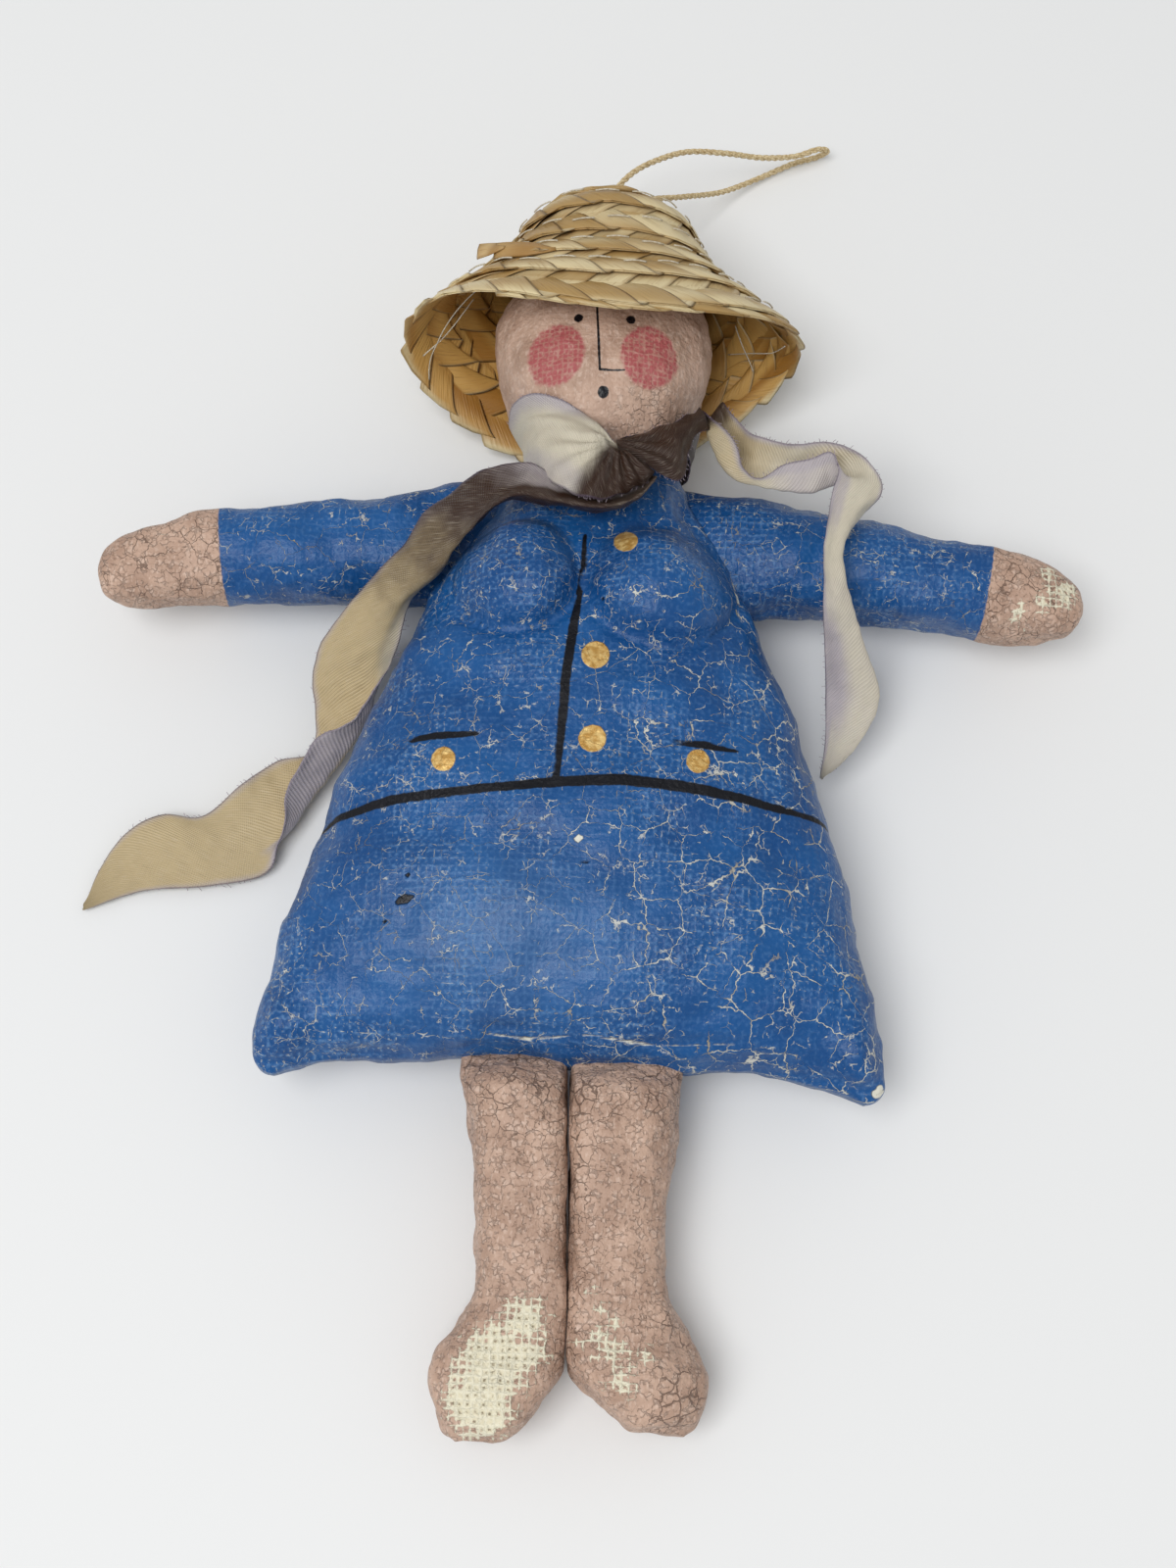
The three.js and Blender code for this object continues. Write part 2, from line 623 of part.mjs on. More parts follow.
// The long tail crosses the right shoulder and comes down on the table
const sleeveTopZ = SEAM_Z + ARM_DEPTH / 2;
const [rightPitX, pitY] = [-CHEST_WIDTH / 2, ARMPIT_HEIGHT];
addMesh(group, "scarf_long_tail", ribbon([
  { x: rightPitX + 15, y: pitY + 12.5, lift: 1.2 },
  { x: rightPitX + 9.5, y: pitY + 12, lift: 2 },
  { x: rightPitX + 3, y: pitY + 9, lift: 3.6 },
  { x: rightPitX - 2.5, y: pitY + 3, lift: 5 },
  { x: rightPitX - 6, y: pitY - 3, z: sleeveTopZ + 2.4 },
  { x: rightPitX - 9.4, y: pitY - 8.5, z: sleeveTopZ * 0.78 },
  { x: rightPitX - 12.6, y: pitY - 14, z: sleeveTopZ * 0.46 },
  { x: rightPitX - 16.4, y: pitY - 20, z: sleeveTopZ * 0.22 },
  { x: rightPitX - 21, y: pitY - 26.5, z: 2.2 },
  { x: rightPitX - 27, y: pitY - 30.5, z: 1 },
  { x: rightPitX - 34, y: pitY - 33.5, z: 0.8 },
  { x: rightPitX - 42, y: pitY - 39, z: 0.8 },
]), "silk");

// The short tail lies along the left arm, folds and hangs over it
const [leftPitX, sleeveTop] = [CHEST_WIDTH / 2, ARMPIT_HEIGHT + SLEEVE_WIDTH];
addMesh(group, "scarf_short_tail", ribbon([
  { x: leftPitX - 1, y: sleeveTop - 3.4, lift: 0.5 },
  { x: leftPitX + 4, y: sleeveTop - 3.6, lift: 0.5 },
  { x: leftPitX + 8.6, y: sleeveTop - 5, lift: 0.5 },
  { x: leftPitX + 12, y: sleeveTop - 9, lift: 0.5 },
  { x: leftPitX + 12.6, y: sleeveTop - 14, lift: 0.6 },
  { x: leftPitX + 12.4, y: sleeveTop - 20, z: sleeveTopZ * 0.8 },
  { x: leftPitX + 12.8, y: sleeveTop - 25.5, z: sleeveTopZ * 0.58 },
  { x: leftPitX + 13.4, y: sleeveTop - 31, z: sleeveTopZ * 0.4 },
  { x: leftPitX + 13, y: sleeveTop - 36, z: sleeveTopZ * 0.28 },
]), "silk");

export default group;
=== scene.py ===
"""A painted canvas doll ornament with a straw hat and a silk scarf, dressed over its solid model."""

import itertools
import math

import bpy
import numpy as np
from mathutils import Matrix, Vector
from mathutils.bvhtree import BVHTree


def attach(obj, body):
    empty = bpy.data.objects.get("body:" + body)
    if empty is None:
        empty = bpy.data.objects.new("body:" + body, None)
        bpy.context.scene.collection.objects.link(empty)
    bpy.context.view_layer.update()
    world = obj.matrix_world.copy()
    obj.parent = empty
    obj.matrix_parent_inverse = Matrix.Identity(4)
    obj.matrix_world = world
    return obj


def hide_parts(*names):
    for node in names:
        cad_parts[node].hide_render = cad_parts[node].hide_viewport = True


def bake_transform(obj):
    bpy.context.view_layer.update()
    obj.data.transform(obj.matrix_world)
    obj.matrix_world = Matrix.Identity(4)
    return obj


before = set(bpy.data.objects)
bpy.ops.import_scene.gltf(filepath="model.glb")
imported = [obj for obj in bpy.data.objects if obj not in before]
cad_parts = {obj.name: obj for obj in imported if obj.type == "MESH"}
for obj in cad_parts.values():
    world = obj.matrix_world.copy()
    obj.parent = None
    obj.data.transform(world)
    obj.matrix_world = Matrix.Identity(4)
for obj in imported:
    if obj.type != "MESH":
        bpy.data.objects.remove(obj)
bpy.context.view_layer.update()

# Every size below is in millimetres
MM = 0.001
SEAM_Z = 12.0
FULLNESS = 0.85
WEAVE_PITCH = 0.9
FACE_PITCH = 0.65

# Coat body
HEM_Y = -36.5
ARMPIT_Y = 24.2
SHOULDER_Y = 42.0
HEM_WIDTH = 78.0
CHEST_WIDTH = 41.5
SHOULDER_WIDTH = 23.0
SKIRT_BULGE = 2.0
EAR_DROP = 3.1
EAR_ROUND = 3.4
EAR_REACH = 1.1
BODY_FRONT = 15.0
BODY_BACK = 12.5
HEM_LIP = 1.1
BUST_RISE = 5.6
BUST_SLOPE = 1.3
BUSTS = [(8.8, 22.0, 9.2, 7.9), (-9.5, 22.6, 7.8, 7.4)]

# Arms
SHOULDER_X = (CHEST_WIDTH + SHOULDER_WIDTH) / 4
SHOULDER_MID_Y = (ARMPIT_Y + SHOULDER_Y) / 2
ARM_LENGTH = 49.0
ARM_DROOP = math.radians(6.6)
SLEEVE_WIDTH = 15.6
CUFF_WIDTH = 13.3
HAND_WIDTH = 11.0
ARM_DEPTH = 13.6
HAND_DEPTH = 10.0
CUFF_X = {1: 51.5, -1: 48.5}

# Legs
LEG_SHIFT = 1.5
LEG_LENGTH = 43.5
LEG_TOP_WIDTH = 13.8
ANKLE_WIDTH = 11.0
ANKLE_Y = -24.5
FOOT_WIDTH = 13.0
FOOT_LENGTH = 19.0
FOOT_DEPTH = 12.6
FOOT_Z = -5.1
LEG_DEPTH = 12.0
HEEL_X = 5.4

# Head
NECK_Y = 42.3
HEAD_LENGTH = 29.0
FACE_WIDTH = 29.2
FACE_RISE = 12.6
NAPE_DEPTH = 10.6
HEAD_Z = 15.6

# Straw hat
HAT_TOP_Y = 82.6
HAT_LENGTH = 20.6
CROWN_RADIUS = 12.3
BRIM_SIDE = 26.5
BRIM_FRONT = 19.5
BRIM_BACK = 13.9
BRIM_DIP_FRONT = 6.5
BRIM_DIP_BACK = 10.0
PLAIT_WIDTH = 7.4
ROW_PITCH = 5.1
ROW_STEP = 0.9
CORD_HOLE_RADIUS = 1.9
LEAF_REACH = 3.3
LEAF_THICKNESS = 0.26
PLAIT_LAY = 16.2
BRIM_SAG = 3.0
BRIM_LIFT = 2.4
SAG_TURN = math.radians(218)

# Scarf and cord
SILK_WIDTH = 10.6
SILK_THICKNESS = 0.2
CORD_DIAMETER = 0.8

# The doll's own sides, its left being +x
SIDES = (("left", 1), ("right", -1))


def spline(points, count):
    """A smooth curve through the points, as evenly stepped samples."""
    p = np.array(points, float)
    ends = np.vstack([2 * p[0] - p[1], p, 2 * p[-1] - p[-2]])
    t = np.linspace(0, len(p) - 1, count)
    i = np.minimum(t.astype(int), len(p) - 2)
    f = (t - i)[:, None]
    a, b, c, d = ends[i], ends[i + 1], ends[i + 2], ends[i + 3]
    line = 2 * b + (c - a) * f
    square = (2 * a - 5 * b + 4 * c - d) * f**2
    cube = (3 * b - a - 3 * c + d) * f**3
    return 0.5 * (line + square + cube)


def unit(vectors):
    """The vectors at length one."""
    return vectors / np.maximum(np.linalg.norm(vectors, axis=-1, keepdims=True), 1e-9)


def run_length(path):
    """How far along the path each of its points lies."""
    steps = np.linalg.norm(np.diff(path, axis=0), axis=1)
    return np.concatenate([[0], np.cumsum(steps)])


def smoothly(value, low, high):
    """0 at low and 1 at high, smoothly between, in either order."""
    t = np.clip((value - low) / (high - low), 0, 1)
    return t * t * (3 - 2 * t)


def waves(points, length, seed):
    """Smooth noise between about -1 and 1, with features of that length."""
    rng = np.random.default_rng(seed)
    total = np.zeros(points.shape[:-1])
    for _ in range(9):
        turn = unit(rng.normal(size=3)) * 2 * np.pi / (length * rng.uniform(0.7, 1.5))
        total += np.sin(points @ turn + rng.uniform(0, 2 * np.pi))
    return total / 3


def stroke(points, line):
    """How far each point lies in plan outside a brush line of places with half widths."""
    far = np.full(points.shape[:-1], 99.0)
    for (ax, ay, aw), (bx, by, bw) in zip(line, line[1:]):
        start = np.array([ax, ay])
        way = np.array([bx, by]) - start
        t = np.clip(((points[..., :2] - start) @ way) / max(way @ way, 1e-6), 0, 1)
        gap = np.linalg.norm(points[..., :2] - start - t[..., None] * way, axis=-1)
        far = np.minimum(far, gap - (aw + t * (bw - aw)))
    return far


def strokes(points, lines):
    """The nearest of several brush lines."""
    return np.min([stroke(points, line) for line in lines], axis=0)


def dots(points, places):
    """How far each point lies in plan outside the nearest round dab, given as x, y, radius."""
    return strokes(points, [[place, place] for place in places])


def full(wave):
    """A wave with its crests broadened as stuffing does."""
    return np.sign(wave) * np.abs(wave) ** FULLNESS


def form(stations, rows, cols):
    """Rings of a stuffed form through stations.

    A station has both seam places, their height, and the swell to the front and back.
    """
    ax, ay, bx, by, z, front, back = spline(stations, rows).T[:, :, None]
    turn = np.linspace(0, 2 * np.pi, cols, endpoint=False)
    side = full(np.cos(turn))
    bulge = full(np.sin(turn))
    x = (ax + bx) / 2 + (ax - bx) / 2 * side
    y = (ay + by) / 2 + (ay - by) / 2 * side
    depth = np.where(bulge > 0, front, back)
    return np.stack([x, y, z + depth * bulge], axis=-1)


def outward(rings):
    """Directions out of a tube of rings."""
    round_it = np.roll(rings, -1, axis=1) - np.roll(rings, 1, axis=1)
    normal = unit(np.cross(np.gradient(rings, axis=0), round_it))
    middle = rings.mean(axis=1, keepdims=True)
    return normal if np.sum(normal * (rings - middle)) > 0 else -normal


def lumpy(rings, seed, *layers):
    """Rings pushed in and out by waves of the lengths and heights given."""
    push = sum(height * waves(rings, length, seed + 2 * k) for k, (length, height) in enumerate(layers))
    return rings + outward(rings) * push[..., None]


def tube_faces(rows, cols, first=0):
    """Faces of a tube of rings, its ends closed across from front to back."""
    index = first + np.arange(rows * cols).reshape(rows, cols)
    beside = np.roll(index, -1, axis=1)
    faces = np.stack([index[:-1], beside[:-1], beside[1:], index[1:]], axis=-1).reshape(-1, 4).tolist()
    for ring, flip in ((index[0], True), (index[-1], False)):
        for c in range(cols // 2):
            corners = ring[[c, c + 1, cols - c - 1, (cols - c) % cols]].tolist()
            loop = list(dict.fromkeys(corners))
            faces.append(loop[::-1] if flip else loop)
    return faces


def signed_volume(points, faces):
    """The volume in the faces, negative where they point inwards."""
    corners = [(face[0], face[k], face[k + 1]) for face in faces for k in range(1, len(face) - 1)]
    a, b, c = points[np.array(corners)].transpose(1, 0, 2)
    return np.sum(a * np.cross(b, c)) / 6


def placed(name, data):
    """A new object of the scene."""
    obj = bpy.data.objects.new(name, data)
    bpy.context.collection.objects.link(obj)
    return obj


def piece(name, points, faces, material, **marks):
    """A smooth mesh from points in millimetres, with its rest places and paint marks as attributes."""
    flat = np.asarray(points, float).reshape(-1, 3)
    if signed_volume(flat, faces) < 0:
        faces = [face[::-1] for face in faces]
    mesh = bpy.data.meshes.new(name)
    mesh.from_pydata((flat * MM).tolist(), [], faces)
    mesh.polygons.foreach_set("use_smooth", np.ones(len(faces), bool))
    rest = mesh.attributes.new("rest", "FLOAT_VECTOR", "POINT")
    rest.data.foreach_set("vector", flat.astype(np.float32).ravel())
    for key, values in marks.items():
        mark = mesh.attributes.new(key, "FLOAT", "POINT")
        mark.data.foreach_set("value", np.asarray(values, np.float32).ravel())
    mesh.materials.append(material)
    mesh.update()
    return placed(name, mesh)


def tube_piece(name, rings, material, **marks):
    """A piece from one tube of rings."""
    return piece(name, rings, tube_faces(*rings.shape[:2]), material, **marks)


def joined_tubes(tubes):
    """Points and faces of several tubes together."""
    points, faces = [], []
    for rings in tubes:
        faces += tube_faces(*rings.shape[:2], sum(len(p) for p in points))
        points.append(rings.reshape(-1, 3))
    return np.concatenate(points), faces


def round_tube(path, radius, sides=6):
    """Rings round a path, whose radius may change along it."""
    path = np.asarray(path, float)
    along = unit(np.gradient(path, axis=0))
    across = np.zeros_like(path)
    hint = np.array([0.0, 0.0, 1.0]) if abs(along[0][2]) < 0.9 else np.array([1.0, 0.0, 0.0])
    for i, way in enumerate(along):
        hint = unit(hint - way * (hint @ way))
        across[i] = hint
    other = np.cross(along, across)
    turn = np.linspace(0, 2 * np.pi, sides, endpoint=False)[None, :, None]
    size = np.broadcast_to(radius, len(path))[:, None, None]
    ring = across[:, None] * np.cos(turn) + other[:, None] * np.sin(turn)
    return path[:, None] + ring * size


# Materials
def colour(red, green, blue):
    """A screen colour of 0 to 255 as a linear colour."""
    shares = [v / 255 for v in (red, green, blue)]
    return tuple(v / 12.92 if v <= 0.04045 else ((v + 0.055) / 1.055) ** 2.4 for v in shares) + (1.0,)


class Wire:
    """A value on its way between a material's nodes, which takes plain arithmetic."""

    def __init__(self, look, socket):
        self.look = look
        self.socket = socket

    def __add__(self, other):
        return self.look.math("ADD", self, other)

    def __sub__(self, other):
        return self.look.math("SUBTRACT", self, other)

    def __rsub__(self, other):
        return self.look.math("SUBTRACT", other, self)

    def __mul__(self, other):
        return self.look.math("MULTIPLY", self, other)


class Look:
    """A material's nodes, with short calls for the ones used here."""

    def __init__(self, name):
        self.material = bpy.data.materials.new(name)
        self.material.use_nodes = True
        self.tree = self.material.node_tree
        self.place = self.attribute("rest", "Vector")

    def feed(self, socket, value):
        if isinstance(value, Wire):
            self.tree.links.new(value.socket, socket)
        else:
            socket.default_value = value

    def add(self, kind, inputs, output=0, **settings):
        """The wire out of a new node, whose inputs are wires or fixed values."""
        node = self.tree.nodes.new("ShaderNode" + kind)
        for key, value in settings.items():
            setattr(node, key, value)
        for key, value in inputs.items():
            self.feed(node.inputs[key], value)
        return Wire(self, node.outputs[output])

    def attribute(self, name, output="Fac"):
        return self.add("Attribute", {}, output, attribute_name=name)

    def math(self, operation, a, b=0.0, **settings):
        return self.add("Math", {0: a, 1: b}, operation=operation, **settings)

    def vector(self, operation, a, b=(0, 0, 0), output=0):
        return self.add("VectorMath", {0: a, 1: b}, output, operation=operation)

    def most(self, a, b):
        return self.math("MAXIMUM", a, b)

    def part(self, place, axis):
        return self.add("SeparateXYZ", {0: place}, axis)

    def join(self, *parts):
        return self.add("CombineXYZ", dict(enumerate(parts)))

    def stretch(self, x, y, z):
        return self.vector("MULTIPLY", self.place, (x, y, z))

    def noise(self, length, detail, place=None, output=0):
        """Noise with features of that length in millimetres."""
        inputs = {"Vector": place or self.place, "Scale": 1 / length, "Detail": detail}
        return self.add("TexNoise", inputs, output)

    def patches(self, length, detail, low, high, place=None):
        """Soft patches of noise, 0 below low and 1 above high."""
        return self.ease(self.noise(length, detail, place), low, high)

    def warped(self, length, amount):
        """The rest place moved about by noise, so that no pattern runs straight."""
        middle = self.vector("SUBTRACT", self.noise(length, 2.0, output="Color"), (0.5,) * 3)
        return self.vector("ADD", self.place, self.vector("MULTIPLY", middle, (amount,) * 3))

    def cells(self, warp, amount, length):
        """Distance in millimetres to the nearest border between warped cells of about that length."""
        inputs = {"Vector": self.warped(warp, amount), "Scale": 1 / length, "Randomness": 0.85}
        return self.add("TexVoronoi", inputs, "Distance", feature="DISTANCE_TO_EDGE") * length

    def ease(self, value, low, high):
        """0 at low and 1 at high, smoothly between."""
        inputs = {"Value": value, "From Min": low, "From Max": high}
        return self.add("MapRange", inputs, interpolation_type="SMOOTHSTEP")

    def mix(self, share, a, b):
        """A colour between two."""
        return self.add("Mix", {0: share, 6: a, 7: b}, 2, data_type="RGBA")

    def lerp(self, share, a, b):
        """A number between two."""
        return self.add("Mix", {0: share, 2: a, 3: b}, data_type="FLOAT")

    def weave(self, pitch):
        """Height of a plain weave, from 1 along its threads to 0 in the holes between them."""
        place = self.vector("MULTIPLY", self.warped(1.3, 0.6), (math.pi / pitch,) * 3)
        warp, weft = [self.math("ABSOLUTE", self.math("SINE", self.part(place, k))) for k in (0, 1)]
        return 1.0 - self.math("MINIMUM", warp, weft)

    def line(self, places):
        """How far the rest place lies in plan outside a thin brush line of x, y and half width."""
        flat = self.stretch(1, 1, 0)
        far = 99.0
        for (ax, ay, aw), (bx, by, bw) in zip(places, places[1:]):
            way = (bx - ax, by - ay, 0)
            start = self.vector("SUBTRACT", flat, (ax, ay, 0))
            reach = self.vector("DOT_PRODUCT", start, way, "Value")
            share = self.math("DIVIDE", reach, way[0] ** 2 + way[1] ** 2, use_clamp=True)
            foot = self.add("VectorMath", {0: way, "Scale": share}, operation="SCALE")
            gap = self.vector("LENGTH", self.vector("SUBTRACT", start, foot), output="Value")
            far = self.math("MINIMUM", far, gap - self.lerp(share, aw, bw))
        return far

    def within(self, far, edge):
        """1 inside a painted mark, given how far outside it a place lies, with a slightly ragged edge."""
        wobble = self.noise(0.8, 3.0) - 0.5
        return self.ease(far + wobble * (3 * edge), edge, -edge)

    def inside(self, name, edge=0.1):
        """1 inside a mark kept as an attribute."""
        return self.within(self.attribute(name), edge)

    def finish(self, base, roughness, height, depth, **others):
        """The material, with its colour, roughness, relief of that depth and other shader inputs."""
        relief = {"Strength": 1.0, "Distance": depth * MM, "Height": height}
        inputs = {"Base Color": base, "Roughness": roughness, "Normal": self.add("Bump", relief)}
        inputs.update({key.replace("_", " "): value for key, value in others.items()})
        for key, value in inputs.items():
            self.feed(self.tree.nodes["Principled BSDF"].inputs[key], value)
        return self.material


BLUE = colour(20, 83, 144)
BLUE_DEEP = colour(12, 69, 127)
BLUE_PALE = colour(104, 146, 192)
CREAM = colour(218, 216, 202)
CRACK_TAN = colour(168, 156, 128)
INK = colour(4, 6, 16)
GOLD = colour(238, 204, 134)
GOLD_DEEP = colour(196, 150, 78)
SKIN = colour(196, 165, 145)
SKIN_HIGHLIGHT = colour(224, 199, 182)
SKIN_DEEP = colour(174, 143, 124)
CRACK_DARK = colour(96, 74, 62)
CANVAS = colour(234, 228, 204)
CANVAS_DEEP = colour(224, 215, 186)
CANVAS_HOLE = colour(112, 92, 62)
SMUDGE_GREY = colour(92, 100, 116)
ROUGE = colour(168, 80, 83)
STRAW_PALE = colour(220, 203, 160)
STRAW_TAN = colour(172, 140, 86)
# Painted shade colours of the straw's undersides inside the hat
STRAW_SHADE = colour(200, 157, 86)
STRAW_SHADE_DEEP = colour(158, 110, 44)
STRAW_EDGE = colour(140, 104, 58)
STRAW_STREAK = colour(146, 106, 54)
SILK_CREAM = colour(210, 202, 182)
SILK_TINTS = {"gold": colour(192, 172, 132), "lilac": colour(178, 170, 174), "brown": colour(54, 34, 23)}
SELVAGE = colour(92, 80, 104)
TWILL_SHADE = colour(70, 58, 50)
# Slub streaks of the silk, the pale ones partly painted satin sheen and the dark ones partly painted shade
SLUB_SHEEN_PALE = colour(226, 214, 196)
SLUB_SHEEN_DARK = colour(40, 28, 22)
RIB_PITCH = 0.52
FILL_PITCH = 0.3
NOSE = [(-1.2, 60.5, 0.14), (-0.7, 54.9, 0.17), (-0.4, 51.4, 0.15), (2.8, 51.5, 0.1)]


def coat_layer(look):
    """Colour, roughness and height of crackled blue paint on canvas."""
    weave = look.weave(WEAVE_PITCH)
    grain = look.noise(0.6, 4.0)
    worn = look.patches(11.0, 2.0, 0.4, 0.62)
    broad = look.attribute("crackle") * look.patches(3.0, 4.0, 0.38, 0.62) * 0.09
    wide = look.ease(look.cells(0.9, 0.9, 4.4), broad, broad * 0.3)
    fine = look.ease(look.cells(0.8, 0.9, 1.9), 0.075, 0.02) * look.patches(1.5, 3.0, 0.53, 0.61)
    rows = look.noise(0.9, 1.0, look.stretch(1.0, 4.5, 2.0))
    columns = look.noise(0.9, 1.0, look.stretch(4.5, 1.0, 2.0))
    ticks = look.ease(look.most(rows, columns), 0.62, 0.74) * look.ease(weave, 0.45, 0.8) * worn
    cracks = look.most(wide * 0.82, look.most(fine, ticks) * 0.6)
    faded = look.ease(grain, 0.42, 0.66) * weave * look.lerp(worn, 0.2, 0.6)
    base = look.mix(look.patches(9.0, 2.0, 0.3, 0.7), BLUE_DEEP, BLUE)
    base = look.mix(faded, base, BLUE_PALE)
    base = look.mix(cracks, base, look.mix(look.patches(5.0, 2.0, 0.5, 0.68), CREAM, CRACK_TAN))
    rough = look.lerp(cracks, look.lerp(look.noise(2.0, 3.0), 0.3, 0.46), 0.75)
    return base, rough, weave * look.lerp(worn, 0.15, 0.4) + grain - cracks * 0.8


def skin_layer(look):
    """Colour, roughness and height of crackled skin-coloured paint on canvas."""
    crackle = look.attribute("crackle")
    base = look.mix(look.patches(4.0, 3.0, 0.35, 0.65), SKIN_DEEP, SKIN)
    # Painted highlights: pale specks and short dashes standing for glints of light on the weave tops
    base = look.mix(look.patches(0.9, 3.0, 0.52, 0.66) * 0.4, base, SKIN_HIGHLIGHT)
    glint = look.patches(0.9, 2.0, 0.56, 0.7, look.stretch(2.2, 1.0, 1.0))
    base = look.mix(glint * 0.4, base, SKIN_HIGHLIGHT)
    broken = look.patches(0.9, 3.0, 0.46, 0.56) * look.ease(crackle, 0.0, 0.2)
    fine = look.ease(look.cells(0.7, 0.8, 0.85), 0.1, 0.03) * broken
    strong = crackle * look.ease(crackle, 0.0, 0.6)
    broad = strong * look.patches(3.5, 3.0, 0.4, 0.58) * 0.13
    wide = look.ease(look.cells(0.9, 0.9, 1.9), broad, broad * 0.35)
    cracks = look.most(fine * 0.55, wide)
    base = look.mix(cracks * 0.75, base, CRACK_DARK)
    rough = look.lerp(look.noise(1.5, 3.0), 0.4, 0.62)
    return base, rough, look.weave(WEAVE_PITCH) * 0.3 + look.noise(0.6, 4.0) * 1.5 - cracks * 0.9


def worn_layer(look, base, height):
    """Bare canvas showing where the paint has worn off its threads, with the holes between the threads
    darker.
    """
    weave = look.weave(WEAVE_PITCH)
    speckle = look.noise(0.5, 3.0)
    rubbed = look.noise(1.6, 5.0) + speckle * 0.5 + weave * 0.36
    bare = look.ease(look.attribute("wear") + rubbed, 1.46, 1.6)
    canvas = look.mix(look.ease(weave * 0.5 + speckle, 0.45, 1.0), CANVAS_DEEP, CANVAS)
    hole = look.ease(weave, 0.2, 0.05) * look.patches(0.9, 2.0, 0.42, 0.6)
    canvas = look.mix(hole * 0.75, canvas, CANVAS_HOLE)
    return look.mix(bare, base, canvas), height + bare * weave * 0.5


def coat_material():
    look = Look("coat_paint")
    base, rough, height = coat_layer(look)
    # Painted sheen: pale blue over the belly stands partly for the light's broad reflection there and
    # partly for paint rubbed thin
    rubbed = look.attribute("rubbed") * look.lerp(look.weave(WEAVE_PITCH), 0.17, 0.34)
    split = look.most(look.inside("split") * look.patches(2.5, 3.0, 0.36, 0.48), look.inside("bare"))
    chip = look.inside("chip")
    ink = look.inside("ink")
    gold = look.inside("gold", 0.08)
    gilt = look.mix(look.patches(0.8, 3.0, 0.35, 0.7), GOLD_DEEP, GOLD)
    for share, tint in ((rubbed, BLUE_PALE), (split, CREAM), (chip, INK), (ink, INK), (gold, gilt)):
        base = look.mix(share, base, tint)
    rough = look.lerp(gold, look.lerp(ink, rough, 0.55), 0.42)
    height = height - look.most(split, chip) * 1.5 + gold * 0.8
    return look.finish(base, rough, height, 0.13, Metallic=gold * 0.35, Specular_IOR_Level=0.3)


def sleeve_material():
    look = Look("sleeve_paint")
    base, rough, height = coat_layer(look)
    skin, skin_rough, skin_height = skin_layer(look)
    skin, skin_height = worn_layer(look, skin, skin_height)
    hand = look.inside("hand", 0.12)
    base = look.mix(hand, base, skin)
    rough = look.lerp(hand, rough, skin_rough)
    height = look.lerp(hand, height, skin_height)
    return look.finish(base, rough, height, 0.14, Specular_IOR_Level=0.32)


def leg_material():
    look = Look("leg_paint")
    base, rough, height = skin_layer(look)
    base, height = worn_layer(look, base, height)
    smudge = look.inside("smudge", 0.5) * look.patches(0.8, 3.0, 0.5, 0.7)
    base = look.mix(smudge * 0.8, base, SMUDGE_GREY)
    return look.finish(base, rough, height, 0.16, Specular_IOR_Level=0.4)


def face_material():
    look = Look("face_paint")
    base, rough, height = skin_layer(look)
    thin = look.ease(look.noise(0.7, 3.0) + look.weave(FACE_PITCH) * 0.3, 0.52, 0.86)
    base = look.mix(look.inside("rouge", 0.3) * look.lerp(thin, 0.95, 0.5), base, ROUGE)
    ink = look.most(look.inside("ink", 0.07), look.within(look.line(NOSE), 0.05))
    ink = ink * look.ease(look.part(look.place, 2), HEAD_Z, HEAD_Z + 2)
    base = look.mix(ink, base, INK)
    return look.finish(base, look.lerp(ink, rough, 0.3), height, 0.14, Specular_IOR_Level=0.4)


def straw_material():
    look = Look("straw")
    across, along, tone, under = [look.attribute(name) for name in ("across", "along", "tone", "under")]
    grain = look.noise(0.35, 3.0, look.join(across * 3.2, along * 0.12, tone))
    leaf = look.patches(0.8, 1.0, 0.36, 0.62, look.join(tone, along * 0.13))
    outside = look.mix(leaf, STRAW_TAN, STRAW_PALE)
    # Painted shade: the leaves' undersides inside the hat take a darker amber copy of the straw
    base = look.mix(under, outside, look.mix(leaf, STRAW_SHADE_DEEP, STRAW_SHADE))
    edge = look.ease(look.math("ABSOLUTE", across), 0.72, 1.0)
    base = look.mix(edge * 0.4, base, STRAW_EDGE)
    base = look.mix(look.ease(grain, 0.52, 0.72) * 0.4, base, STRAW_STREAK)
    return look.finish(base, look.lerp(grain, 0.34, 0.58), grain, 0.12)


def thread_material(name, light, dark):
    look = Look(name)
    fibre = look.noise(0.35, 4.0)
    base = look.mix(look.ease(fibre, 0.35, 0.65), dark, light)
    return look.finish(base, look.lerp(fibre, 0.6, 0.85), fibre, 0.12)


